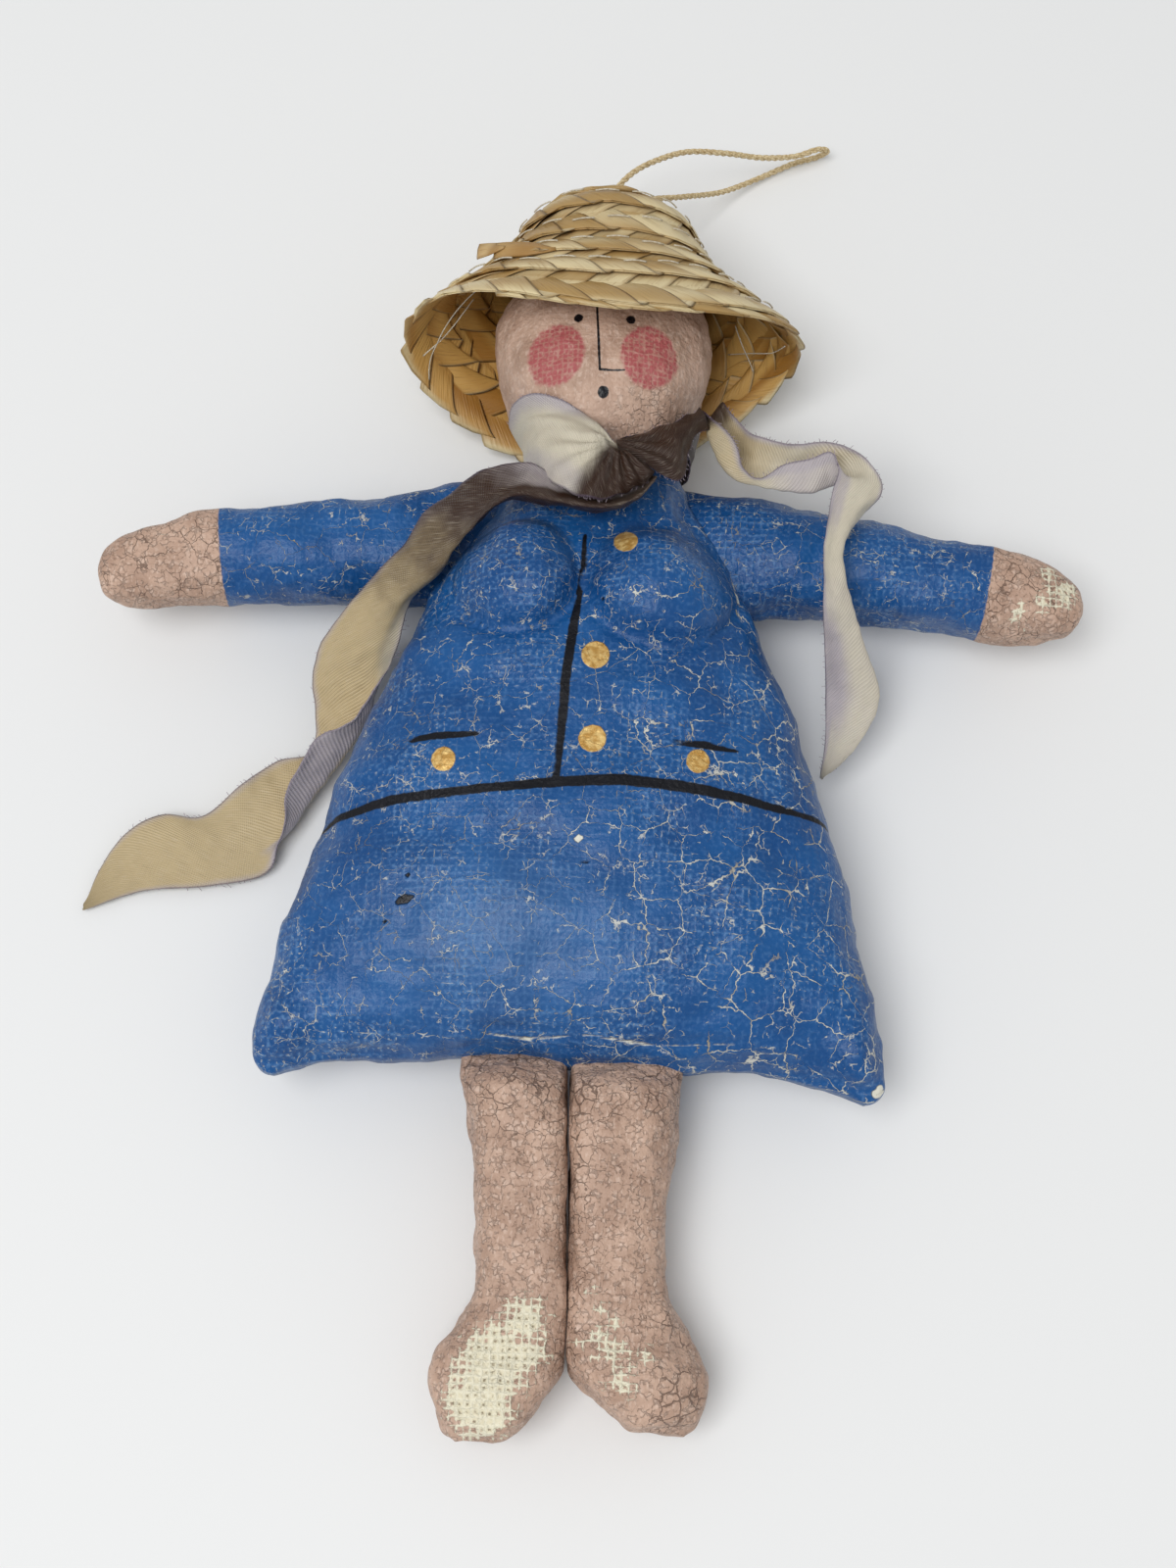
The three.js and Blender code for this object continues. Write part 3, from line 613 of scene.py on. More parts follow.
def silk_material():
    look = Look("silk")
    along = look.attribute("along")
    across = look.attribute("across")
    mottle = (look.noise(2.4, 5.0) - 0.5) * 0.3
    base = SILK_CREAM
    for name, tint in SILK_TINTS.items():
        dye = look.attribute(name)
        base = look.mix(look.ease(dye + mottle, 0.1, 0.85) * look.ease(dye, 0.0, 0.12), base, tint)
    selvage = look.ease(look.math("ABSOLUTE", across), 0.945, 0.99)
    base = look.mix(selvage * 0.5, base, SELVAGE)
    aslant = across * (SILK_WIDTH / 2)
    slant = along + aslant
    other = along - aslant
    rib = look.math("SINE", slant * (2 * math.pi / RIB_PITCH))
    fill = look.math("SINE", other * (2 * math.pi / FILL_PITCH))
    twill = (rib + fill * 0.5) * 0.3
    base = look.mix(look.ease(twill, 0.1, -0.5), base, look.mix(0.16, base, TWILL_SHADE))
    # Slub streaks, partly painted satin sheen and shade: pale streaks lighten the silk and dark ones darken
    # it
    slub_and_sheen = look.noise(0.8, 2.0, look.join(slant * 4.4, other * 0.3))
    base = look.mix(look.ease(slub_and_sheen, 0.54, 0.74) * 0.2, base, SLUB_SHEEN_PALE)
    base = look.mix(look.ease(slub_and_sheen, 0.46, 0.26) * 0.17, base, SLUB_SHEEN_DARK)
    return look.finish(base, look.lerp(slub_and_sheen, 0.26, 0.46), twill, 0.08, Specular_IOR_Level=0.4)


def glue_material():
    look = Look("glue")
    cloud = look.noise(1.5, 3.0)
    base = look.mix(cloud, colour(226, 220, 200), colour(242, 240, 230))
    rough = look.lerp(cloud, 0.12, 0.3)
    return look.finish(base, rough, cloud, 0.1, Transmission_Weight=0.55, IOR=1.48)


coat_paint = coat_material()
sleeve_paint = sleeve_material()
leg_paint = leg_material()
face_paint = face_material()
straw = straw_material()
silk = silk_material()
twine = thread_material("twine", colour(222, 204, 164), colour(180, 156, 112))
thread = thread_material("thread", colour(212, 205, 188), colour(182, 170, 146))
fray_look = thread_material("fray", colour(196, 182, 190), colour(120, 104, 120))
glue = glue_material()


# Camera over the doll, tipped towards the feet and turned a little, in metres
CAMERA_TARGET = Vector((0.0008, 0.0, 0.012))
CAMERA_DISTANCE = 0.278
CAMERA_TILT = math.radians(20)
CAMERA_TURN = math.radians(2.9)
back = Vector((0, -math.sin(CAMERA_TILT), math.cos(CAMERA_TILT)))
level = Vector((1, 0, 0))
upward = back.cross(level)
right = level * math.cos(CAMERA_TURN) + upward * math.sin(CAMERA_TURN)
up = upward * math.cos(CAMERA_TURN) - level * math.sin(CAMERA_TURN)
camera_data = bpy.data.cameras.new("camera")
camera_data.lens = 50
camera_data.sensor_width = 36
camera_data.clip_start = 0.01
camera = placed("camera", camera_data)
turned = Matrix((right, up, back)).transposed().to_4x4()
camera.matrix_world = Matrix.Translation(CAMERA_TARGET + back * CAMERA_DISTANCE) @ turned
bpy.context.scene.camera = camera


# Twine loop out of the crown, laid over the table and back
CORD_ROUTE = [
    (-0.6, 80.9125, 15.6), (-0.6, 83.4, 15.6), (0.2, 86.4, 15.8), (2.6, 90.4, 15), (5.8, 93.7, 13.6),
    (10.4, 97, 11.6), (16, 99, 9), (21.5, 100.6, 6.2), (26.5, 102.6, 4.2), (29.8, 104.2, 3.9),
    (31.5, 105.2, 2.3), (30, 105.2, 0.7), (26.5, 103.8, 0.7), (21.5, 100.6, 1.2), (16, 96.2, 3.6),
    (10.4, 91.4, 8.8), (5.8, 87.8, 13), (2.6, 85.6, 15.2), (0.6, 83.2, 15.6), (0.6, 80.9125, 15.6),
]
TWIST_PITCH = 3.4
TWINE_FLUFF = 1.05
KNOT_CENTRE = np.array([0.0, 78.31, HEAD_Z])
KNOT_REACH = 0.62


def twisted(path, diameter, plies, pitch, sides):
    """Plies wound round a path to make a twisted cord of that diameter."""
    along = unit(np.gradient(path, axis=0))
    rings = round_tube(path, 1.0, 4) - path[:, None]
    across = unit(rings[:, 0])
    other = np.cross(along, across)
    reach = run_length(path)
    ply = diameter / (1 + 1 / math.sin(math.pi / plies)) / 2
    tubes = []
    for k in range(plies):
        turn = (2 * np.pi * (reach / pitch + k / plies))[:, None]
        core = path + (across * np.cos(turn) + other * np.sin(turn)) * (diameter / 2 - ply)
        tubes.append(round_tube(core, ply * 1.12, sides))
    return joined_tubes(tubes)


cord_path = spline(CORD_ROUTE, 420)
points, faces = twisted(cord_path, CORD_DIAMETER * TWINE_FLUFF, 3, TWIST_PITCH, 6)
twine_loop = piece("twine_loop", points, faces, twine)

t = np.linspace(0, 2 * np.pi, 90)
trefoil = [np.sin(t) + 2 * np.sin(2 * t), -np.sin(3 * t), np.cos(t) - 2 * np.cos(2 * t)]
knot_path = KNOT_CENTRE + np.stack(trefoil, axis=1) * KNOT_REACH
twine_knot = tube_piece("twine_knot", round_tube(knot_path, CORD_DIAMETER / 2, 8), twine)


# Coat body, from the hem up
SKIRT_LENGTH = ARMPIT_Y - HEM_Y
BODY_SWELL = [
    (0, 0.0), (0.03, 0.4), (0.11, 0.7), (0.25, 0.93), (0.45, 1), (0.65, 1), (0.85, 0.95), (1, 0.87),
]


def body_station(half, y, swell):
    """A level section, whose seam is a flat lip where it does not swell."""
    lip = HEM_LIP * (1 - swell)
    return half, y, -half, y, SEAM_Z, BODY_FRONT * swell + lip, BODY_BACK * swell + lip


def coat_station(share, swell):
    """A section that share of the way from the hem to the armpits."""
    half = (HEM_WIDTH + (CHEST_WIDTH - HEM_WIDTH) * share) / 2 + SKIRT_BULGE * math.sin(math.pi * share)
    return body_station(half, HEM_Y + share * SKIRT_LENGTH, swell)


BODY_STATIONS = [coat_station(*place) for place in BODY_SWELL] + [
    body_station(SHOULDER_X, SHOULDER_MID_Y, 0.72),
    body_station(SHOULDER_WIDTH / 2, SHOULDER_Y, 0.52),
    body_station(SHOULDER_WIDTH / 3, SHOULDER_Y + 2.5, 0.3),
]
body = form(BODY_STATIONS, 180, 320)
x, y, z = body[..., 0], body[..., 1], body[..., 2]
share = np.clip((y - HEM_Y) / SKIRT_LENGTH, 0, 1)
half = np.abs(x).max(axis=1, keepdims=True)
body[..., 1] = y - EAR_DROP * (1 - share) ** 6 * (x / half) ** 6
corner = np.clip(EAR_ROUND - share * SKIRT_LENGTH, 0, EAR_ROUND)
narrower = EAR_ROUND - np.sqrt(EAR_ROUND**2 - corner**2)
body[..., 0] = x * (half - narrower) / half
body[..., 0] += EAR_REACH * (1 - share) ** 12 * np.clip(x / half, 0, 1) ** 6
front = z > SEAM_Z


def bust_rise(points):
    """Height of the two bust pads over the chest, with a crease along their lower edges."""
    total = np.zeros(points.shape[:-1])
    crease = np.zeros(points.shape[:-1])
    for middle_x, middle_y, half_x, half_y in BUSTS:
        reach_x = (points[..., 0] - middle_x) / half_x
        reach_y = (points[..., 1] - middle_y) / half_y
        reach_y = np.where(reach_y > 0, reach_y / BUST_SLOPE, reach_y)
        room = np.clip(1 - reach_x**2 - reach_y**2, 0, 1)
        steep = 0.62 + np.where(reach_y > 0, 0.75, 0.1) * np.clip(reach_y, -1, 1)
        total = np.maximum(total, BUST_RISE * room**steep)
        edge = (np.hypot(reach_x, reach_y) - 1) * half_y
        fold = np.exp(-(edge - 0.3) ** 2 / 0.5) * np.clip(0.3 - reach_y, 0, 1)
        crease = np.maximum(crease, fold)
    return total - 0.5 * crease


EAR_PLACE = (35.2, -35.8)
EAR_SIZE = 3.4
EAR_RISE = 2.6
HEM_CRACK = [
    (-10.5, -34.4, 0.02), (-4.6, -34.8, 0.14), (1.2, -34.4, 0.02),
    (7.2, -34.8, 0.14), (11.2, -34.9, 0.02), (20.4, -34.3, 0.02),
]
CREASE_HALF = 0.1
SHOULDER_CREASES = [
    [(10.7, 38.8), (11.3, 34.6), (13.8, 31.4), (17.1, 28.6), (18.6, 25.2), (18.9, 20.4)],
    [(-9.8, 41.5), (-14.0, 35.0), (-17.2, 31.0), (-20.0, 25.2)],
]
ARMPIT_CRACKS = [
    [(17.6, 28.6, 0.02), (18.5, 26.0, 0.2), (18.9, 23.6, 0.14), (18.9, 21.0, 0.02)],
    [(-19.2, 28.2, 0.02), (-20.0, 26.0, 0.12), (-20.4, 24.4, 0.02)],
]
BUST_CRACKS = [
    [(-16.4, 17.6, 0.02), (-12.8, 15.8, 0.06), (-8.6, 15.9, 0.02)],
    [(4.2, 16.6, 0.02), (5.4, 16.0, 0.16), (6.4, 15.6, 0.02)],
    [(8.2, 14.5, 0.02), (11.0, 14.4, 0.06), (13.5, 15.2, 0.02)],
]
ear = np.exp(-((np.abs(x) - EAR_PLACE[0]) ** 2 + (y - EAR_PLACE[1]) ** 2) / EAR_SIZE**2)
crease = np.exp(-np.clip(stroke(body, HEM_CRACK), 0, 9) ** 2 / 0.5)
shoulder_lines = [[(*place, CREASE_HALF) for place in line] for line in SHOULDER_CREASES]
crease += 1.6 * np.exp(-np.clip(strokes(body, shoulder_lines), 0, 9) ** 2 / 1.2)
body[..., 2] += np.where(front, bust_rise(body) - 0.5 * crease, 0)
body[..., 2] += np.where(front, 1, -1) * EAR_RISE * ear
body = lumpy(body, 3, (13.0, 0.35), (5.0, 0.13), (2.2, 0.05))
body[..., 2] = np.maximum(body[..., 2], 0.0)

FRONT_LINE = [
    (-1.2, 29.0, 0.3), (-1.1, 24.5, 0.4), (-1.6, 19.2, 0.42), (-2.0, 15.3, 0.6),
    (-2.6, 8.4, 0.6), (-2.7, 3.2, 0.58), (-3.1, -5.3, 0.42),
]
BELT_LINE = [
    (-32.5, -9.4, 0.3), (-29.6, -8.6, 0.5), (-22.9, -7.5, 0.62), (-16.8, -7.1, 0.58),
    (-9.8, -6.3, 0.6), (-3.1, -5.4, 0.7), (5.5, -4.8, 0.74), (12.6, -5.1, 0.72),
    (21.1, -5.8, 0.6), (26.7, -6.1, 0.45), (30.8, -6.2, 0.3),
]
POCKET_LINES = [
    [(-21.0, 0.1, 0.4), (-17.0, 0.5, 0.55), (-12.9, 0.7, 0.3)],
    [(10.8, 0.9, 0.3), (14.6, 0.8, 0.55), (18.8, 0.6, 0.25)],
]
BUTTONS = [(3.8, 27.0, 1.5), (1.2, 11.9, 1.75), (0.8, 0.5, 1.7), (-16.9, -3.0, 1.5), (13.9, -1.5, 1.45)]
CHIPS = [
    (-21.0, -20.5, 0.5), (-20.3, -20.3, 0.6), (-19.6, -19.9, 0.4), (-20.2, -17.4, 0.35),
    (-22.6, -22.9, 0.3), (0.4, -15.3, 0.3), (1.3, -15.0, 0.35), (2.6, -14.2, 0.2),
    (-4.4, 18.0, 0.2), (-3.0, 19.2, 0.22), (1.4, 18.6, 0.24), (2.6, 17.4, 0.16),
]
BARE_CHIPS = [(-0.3, -12.7, 0.55), (37.5, -38.5, 0.62), (37.8, -37.9, 0.45), (38.2, -38.4, 0.55)]
# Where the belly's pale blue lies: painted sheen over paint rubbed thin
BELLY = (-9.0, -24.0)
BELLY_REACH = (14.0, 9.0)
CRACKLE_FLOOR = 0.45
CRACKLE_RISE = 0.75


def front_only(values):
    """The mark on the front of the body, and far away on its back."""
    return np.where(front, values, 9.0)


def dabs(places):
    """How far each point of the body lies outside dabs that look round from the front and feet."""
    fars = []
    for x, y, radius in places:
        apart = np.hypot(body[..., 0] - x, body[..., 1] - y) + np.where(front, 0, 99)
        away = body - body.reshape(-1, 3)[apart.argmin()]
        rise = away[..., 1] * math.cos(CAMERA_TILT) + away[..., 2] * math.sin(CAMERA_TILT)
        fars.append(np.hypot(away[..., 0], rise) - radius)
    return np.min(fars, axis=0)


from_belly = (body[..., :2] - BELLY) / BELLY_REACH
aslant = body[..., 0] - 0.45 * body[..., 1]
coat_body = tube_piece(
    "coat_body", body, coat_paint,
    ink=front_only(strokes(body, [FRONT_LINE, BELT_LINE] + POCKET_LINES)),
    gold=front_only(dabs(BUTTONS)),
    chip=front_only(dots(body, CHIPS)),
    split=front_only(strokes(body, [HEM_CRACK] + ARMPIT_CRACKS + BUST_CRACKS)),
    bare=front_only(dabs(BARE_CHIPS)),
    # painted sheen and rubbed paint over the belly
    rubbed=np.where(front, np.exp(-np.sum(from_belly**2, axis=-1)), 0),
    crackle=CRACKLE_FLOOR + CRACKLE_RISE / (1 + np.exp(-(aslant - 12) / 7)),
)


def stuffed(skin, slot, part, *others):
    """Hide a sewn part's two panels and stuffing, which the skin is drawn in place of."""
    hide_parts(f"{part}_front", f"{part}_back", f"{part}_stuffing", *others)


def over_shoulder(made):
    """The piece's place baked into its points."""
    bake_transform(made)


# Arms: canvas tubes from the shoulder seam to the hand
def arm_station(share, width, depth):
    """A section across the arm, that share of the way to its tip."""
    along = share * ARM_LENGTH
    x = SHOULDER_X + along * math.cos(ARM_DROOP)
    y = SHOULDER_MID_Y - along * math.sin(ARM_DROOP)
    nx = math.sin(ARM_DROOP) * width / 2
    ny = math.cos(ARM_DROOP) * width / 2
    return x + nx, y + ny, x - nx, y - ny, SEAM_Z, depth / 2, depth / 2


def root_station(outwards, depth):
    """A section along the shoulder seam, moved out of the body or into it."""
    seam = Vector((SHOULDER_WIDTH / 2 - CHEST_WIDTH / 2, SHOULDER_Y - ARMPIT_Y))
    out = Vector((seam.y, -seam.x)).normalized() * outwards
    high = (SHOULDER_WIDTH / 2 + out.x, SHOULDER_Y + out.y)
    low = (CHEST_WIDTH / 2 + out.x, ARMPIT_Y + out.y)
    return *high, *low, SEAM_Z, depth / 2, depth / 2


ARM_STATIONS = [
    root_station(-4.0, ARM_DEPTH * 0.62),
    root_station(-0.6, ARM_DEPTH * 0.8),
    arm_station(0.15, SLEEVE_WIDTH * 1.08, ARM_DEPTH * 0.98),
    arm_station(0.3, SLEEVE_WIDTH, ARM_DEPTH),
    arm_station(0.5, (SLEEVE_WIDTH + CUFF_WIDTH) / 2, ARM_DEPTH * 0.97),
    arm_station(0.7, CUFF_WIDTH, (ARM_DEPTH + HAND_DEPTH) / 2),
    arm_station(0.88, HAND_WIDTH, HAND_DEPTH),
    arm_station(0.965, HAND_WIDTH * 0.7, HAND_DEPTH * 0.7),
    arm_station(0.995, HAND_WIDTH * 0.22, HAND_DEPTH * 0.22),
]
HAND_WEAR = {
    1: [(61.2, 28.2, 0.6), (59.4, 30.2, -0.4), (58.6, 26.4, -0.6), (55.4, 25.0, -0.8)],
    -1: [(-56.5, 29.5, -2.0)],
}
WEAR_FADE = 4.0
ARM_TRIM = {1: (0.02, 0.24), -1: (0.19, 0.08)}
SLIM_START = (17, 26)
SLIM_END = (46, 54)
HAND_BEND = {1: 0.0, -1: 1.1}
BEND_START = 50
BEND_RUN = 10
CUFF_SLANT = 0.14
CUFF_MIDDLE_Y = SHOULDER_MID_Y - 5


def wear_round(points, places):
    """How worn the paint is, from 1 in the middle of a patch to 0 well outside it."""
    return np.clip(1 - np.maximum(dots(points, places), -1) / WEAR_FADE, 0, 1.2) * 0.8


supports = [body]
for word, side in SIDES:
    arm = form(ARM_STATIONS, 130, 150)
    along = arm[..., 0]
    middle = SHOULDER_MID_Y - (along - SHOULDER_X) * math.tan(ARM_DROOP)
    offset = arm[..., 1] - middle
    slim = smoothly(along, *SLIM_START) * (1 - 0.6 * smoothly(along, *SLIM_END))
    above, below = ARM_TRIM[side]
    arm[..., 1] = middle + offset * (1 - slim * np.where(offset > 0, above, below))
    arm[..., 1] -= HAND_BEND[side] * np.clip((along - BEND_START) / BEND_RUN, 0, 1.5) ** 2
    arm = arm * np.array([side, 1, 1])
    arm = lumpy(arm, 11 + side, (9.0, 0.28), (3.5, 0.1), (1.8, 0.04))
    cuff = CUFF_X[side] + CUFF_SLANT * (arm[..., 1] - CUFF_MIDDLE_Y)
    arm_skin = tube_piece(
        f"{word}_arm_skin", arm, sleeve_paint,
        hand=cuff - np.abs(arm[..., 0]),
        wear=np.where(arm[..., 2] > SEAM_Z - 2, wear_round(arm, HAND_WEAR[side]), 0),
        crackle=np.where(np.abs(arm[..., 0]) > CUFF_X[side], 0.5, 0.4),
    )
    supports.append(arm)
    over_shoulder(arm_skin)
    stuffed(arm_skin, "coat", f"{word}_arm")


# Legs: two canvas tubes pressed together, hanging from the hem
def leg_station(inner, outer, inner_y, outer_y, drop, depth):
    """A section from the inner seam to the outer one, dropped towards the table."""
    return outer, outer_y, inner, inner_y, SEAM_Z + FOOT_Z * drop, depth / 2, depth / 2


def shin_station(inner, outer, y, drop, depth):
    """A level section of the leg."""
    return leg_station(inner, outer, y, y, drop, depth)


def foot_station(inner, outer, inner_share, outer_share, depth):
    """A section of the foot, its seams those shares of the way from the ankle to the toes."""
    inner_y = ANKLE_Y - FOOT_LENGTH * inner_share
    return leg_station(inner, outer, inner_y, ANKLE_Y - FOOT_LENGTH * outer_share, 1, depth)


LEG_STATIONS = [
    shin_station(0.4, LEG_TOP_WIDTH, 1.2, 0, 1.6),
    shin_station(0.1, LEG_TOP_WIDTH, -0.4, 0, 5),
    shin_station(0.05, LEG_TOP_WIDTH * 0.97, ANKLE_Y * 0.18, 0.1, LEG_DEPTH * 0.92),
    shin_station(0.05, (LEG_TOP_WIDTH + ANKLE_WIDTH) / 2, ANKLE_Y * 0.5, 0.4, LEG_DEPTH),
    shin_station(0.05, ANKLE_WIDTH, ANKLE_Y, 0.8, LEG_DEPTH * 0.96),
    foot_station(0.05, FOOT_WIDTH, 0.5, 0.34, FOOT_DEPTH),
    foot_station(HEEL_X * 0.6, HEEL_X + FOOT_WIDTH * 0.86, 0.76, 0.62, FOOT_DEPTH),
    foot_station(HEEL_X * 1.25, HEEL_X + FOOT_WIDTH * 0.8, 0.94, 0.88, FOOT_DEPTH * 0.7),
    leg_station(
        HEEL_X + FOOT_WIDTH * 0.25, HEEL_X + FOOT_WIDTH * 0.65,
        0.2 - LEG_LENGTH, 0.3 - LEG_LENGTH, 1, FOOT_DEPTH * 0.2,
    ),
]
FOOT_WEAR = {
    1: [(4.3, -63.6, -1.3), (4.8, -65.6, -0.8), (5.5, -68.4, -0.4), (6.6, -70.2, 0.0),
        (8.0, -72.8, -0.1), (10.8, -70.8, -0.5), (8.9, -74.4, -0.7), (7.1, -66.8, -0.7),
        (9.2, -71.6, -0.8), (3.4, -69.4, -1.2)],
    -1: [(-6.6, -72.2, 3.0), (-8.2, -76.5, 2.8), (-3.4, -67.4, 1.2), (-3.2, -70.8, 1.0)],
}
TRIM_ROWS = [-42, -38, -34, -29.5, -25, -18, -11, -2]
LEG_TRIM = {
    1: [0.03, 0.03, 0.06, 0.13, 0.08, 0.02, 0.02, 0.0],
    -1: [-0.11, -0.08, 0.0, -0.02, -0.02, -0.02, -0.09, -0.04],
}
TOE_REACH = {1: -0.9, -1: 1.1}
TOE_ROWS = (-33, -43)
TOE_CRACKLE_X = 11
TOE_CRACKLE_Y = -60
LEG_GAP = 0.06
LEG_LEAN = -1.3
LEG_LEAN_END = 30.0
GROOVE_POWER = 3.0
SMUDGES = [(8.0, -40.6, 0.8), (14.5, -44.0, 0.6), (-6.0, -41.5, 0.5)]


def full_inside(rings):
    """Rings squarer on their inner side, so that two legs side by side meet in a narrow groove."""
    low = rings.min(axis=1, keepdims=True)
    high = rings.max(axis=1, keepdims=True)
    middle = (low + high) / 2
    inwards = np.clip((middle - rings)[..., 0] / (high - low)[..., 0] * 2, 0, 0.999)
    fuller = (1 - inwards**GROOVE_POWER) ** (1 / GROOVE_POWER) / np.sqrt(1 - inwards**2)
    rings[..., 2] = middle[..., 2] + (rings - middle)[..., 2] * fuller
    return rings


hem = Vector((LEG_SHIFT, HEM_Y, SEAM_Z)) * MM
for word, side in SIDES:
    leg = full_inside(form(LEG_STATIONS, 150, 140))
    leg[..., 0] *= 1 + np.interp(leg[..., 1], TRIM_ROWS, LEG_TRIM[side])
    leg[..., 1] -= TOE_REACH[side] * smoothly(leg[..., 1], *TOE_ROWS)
    leg = lumpy(leg, 21 + side, (8.0, 0.25), (3.2, 0.1), (1.6, 0.05))
    leg[..., 0] = np.maximum(leg[..., 0], LEG_GAP)
    leg = leg * np.array([side, 1, 1])
    leg[..., 0] += LEG_LEAN * np.clip(1 + leg[..., 1] / LEG_LEAN_END, 0, 1)
    leg += np.array([LEG_SHIFT, HEM_Y, 0])
    leg[..., 2] = np.maximum(leg[..., 2], 0.0)
    top = np.exp(-np.clip(HEM_Y - leg[..., 1], 0, 99) / 5)
    toe = np.clip((TOE_CRACKLE_Y - leg[..., 1]) / 9, 0, 1) * (side > 0)
    toe = toe * np.clip((leg[..., 0] - TOE_CRACKLE_X) / 3, 0, 1)
    middle = np.exp(-np.abs(leg[..., 0] - LEG_SHIFT) / 0.9)
    leg_skin = tube_piece(
        f"{word}_leg_skin", leg, leg_paint,
        wear=np.where(leg[..., 2] > SEAM_Z + FOOT_Z, wear_round(leg, FOOT_WEAR[side]), 0),
        smudge=dots(leg, SMUDGES),
        crackle=np.clip(0.2 + top + 0.7 * toe + middle, 0, 1.2),
    )
    start = hem + Vector((0, 2, 0)) * MM
    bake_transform(leg_skin)
    stuffed(leg_skin, "skin", f"{word}_leg")


# Head
def head_station(share, width, front, back, z, slim=0.0):
    """A level section, slimmer by that much at the doll's right."""
    y = NECK_Y + share * HEAD_LENGTH
    return width / 2, y, slim - width / 2, y, z, front, back


HEAD_STATIONS = [
    head_station(-0.08, 17.0, 6.4, 6.4, SEAM_Z + 0.8, 0.8),
    head_station(0, 19.2, 7.2, 7.2, SEAM_Z + 1.26, 1.2),
    head_station(0.13, 21.8, FACE_RISE * 0.82, NAPE_DEPTH * 0.86, SEAM_Z + 2.5, 1.6),
    head_station(0.33, FACE_WIDTH * 0.89, FACE_RISE * 0.96, NAPE_DEPTH, HEAD_Z, 0.4),
    head_station(0.61, FACE_WIDTH, FACE_RISE, NAPE_DEPTH, HEAD_Z),
    head_station(0.78, FACE_WIDTH * 0.94, FACE_RISE * 0.97, NAPE_DEPTH * 0.97, HEAD_Z),
    head_station(0.9, FACE_WIDTH * 0.76, FACE_RISE * 0.8, NAPE_DEPTH * 0.8, HEAD_Z),
    head_station(0.975, FACE_WIDTH * 0.45, FACE_RISE * 0.48, NAPE_DEPTH * 0.48, HEAD_Z),
    head_station(0.995, FACE_WIDTH * 0.12, FACE_RISE * 0.14, NAPE_DEPTH * 0.14, HEAD_Z),
]
EYES = [(-3.5, 58.5, 0.62), (3.3, 58.6, 0.62)]
MOUTH = (0.2, 48.7, 0.74)
CHEEKS = [(-6.1, 53.6), (5.9, 53.8)]
CHEEK_SIZE = (3.7, 4.1)
JAW_PLACE = (7.5, 44.5)
JAW_SPREAD = 14
head = lumpy(form(HEAD_STATIONS, 150, 260), 31, (11.0, 0.22), (4.0, 0.1), (1.9, 0.05))
from_cheeks = [(head[..., :2] - place) / CHEEK_SIZE for place in CHEEKS]
cheek = np.min([np.hypot(away[..., 0], away[..., 1]) for away in from_cheeks], axis=0)
facing = head[..., 2] > HEAD_Z
jaw = np.exp(-np.sum((head[..., :2] - JAW_PLACE) ** 2, axis=-1) / JAW_SPREAD)
head_skin = tube_piece(
    "head_skin", head, face_paint,
    ink=np.where(facing, dots(head, EYES + [MOUTH]), 9.0),
    rouge=np.where(facing, (cheek - 1) * CHEEK_SIZE[0], 9.0),
    crackle=0.05 + 0.9 * jaw,
)


# Straw hat: one plait of three leaves, wound from the crown to the brim
HAT_PROFILE = [
    (0, 0, 0), (0.025, 0.37, 0), (0.08, 0.65, 0), (0.175, 0.88, 0), (0.315, 1, 0),
    (0.485, 1, 0.12), (0.655, 1, 0.37), (0.815, 1, 0.68), (1, 1, 1),
]


def hat_row(drop, crown, flare):
    """Reach to the side, height, and reach to the front and back of one row of the hat."""
    brims = np.array([BRIM_SIDE, BRIM_FRONT, BRIM_BACK])
    side, front, back = crown * CROWN_RADIUS + flare * (brims - CROWN_RADIUS)
    return side, HAT_TOP_Y - drop * HAT_LENGTH, front, back


hat_line = spline([hat_row(*row) for row in HAT_PROFILE], 600)
hat_reach = run_length(hat_line[:, :2])
HAT_RUN = hat_reach[-1]


def hat_surface(run, angle):
    """A point of the hat's middle surface, run millimetres from its top."""
    side, y, front, back = [np.interp(run, hat_reach, hat_line[:, k]) for k in range(4)]
    s = np.sin(angle)
    low = np.clip(run / HAT_RUN, 0, 1) ** 3
    dip = np.where(s > 0, BRIM_DIP_FRONT, BRIM_DIP_BACK) * low * s**2
    dip = dip + BRIM_SAG * low * np.clip(np.cos(angle - SAG_TURN), 0, 1) ** 2
    dip = dip - BRIM_LIFT * low * np.clip(s, 0, 1) * np.clip(-np.cos(angle), 0, 1)
    return np.stack([side * np.cos(angle), y - dip, HEAD_Z + np.where(s > 0, front, back) * s], axis=-1)


def hat_point(run, angle, offset):
    """The same point moved out of the surface."""
    d = 0.05
    kept = np.clip(run, 0.4, HAT_RUN - d)
    down = hat_surface(kept + d, angle) - hat_surface(kept - d, angle)
    round_it = hat_surface(kept, angle + d) - hat_surface(kept, angle - d)
    normal = unit(np.cross(round_it, down))
    out = np.stack([np.cos(angle), np.full_like(angle, 0.4), np.sin(angle)], axis=-1)
    normal *= np.where(np.sum(normal * out, axis=-1, keepdims=True) < 0, -1, 1)
    beyond = unit(down) * np.asarray(run - kept)[..., None]
    return hat_surface(kept, angle) + beyond + normal * np.asarray(offset)[..., None]


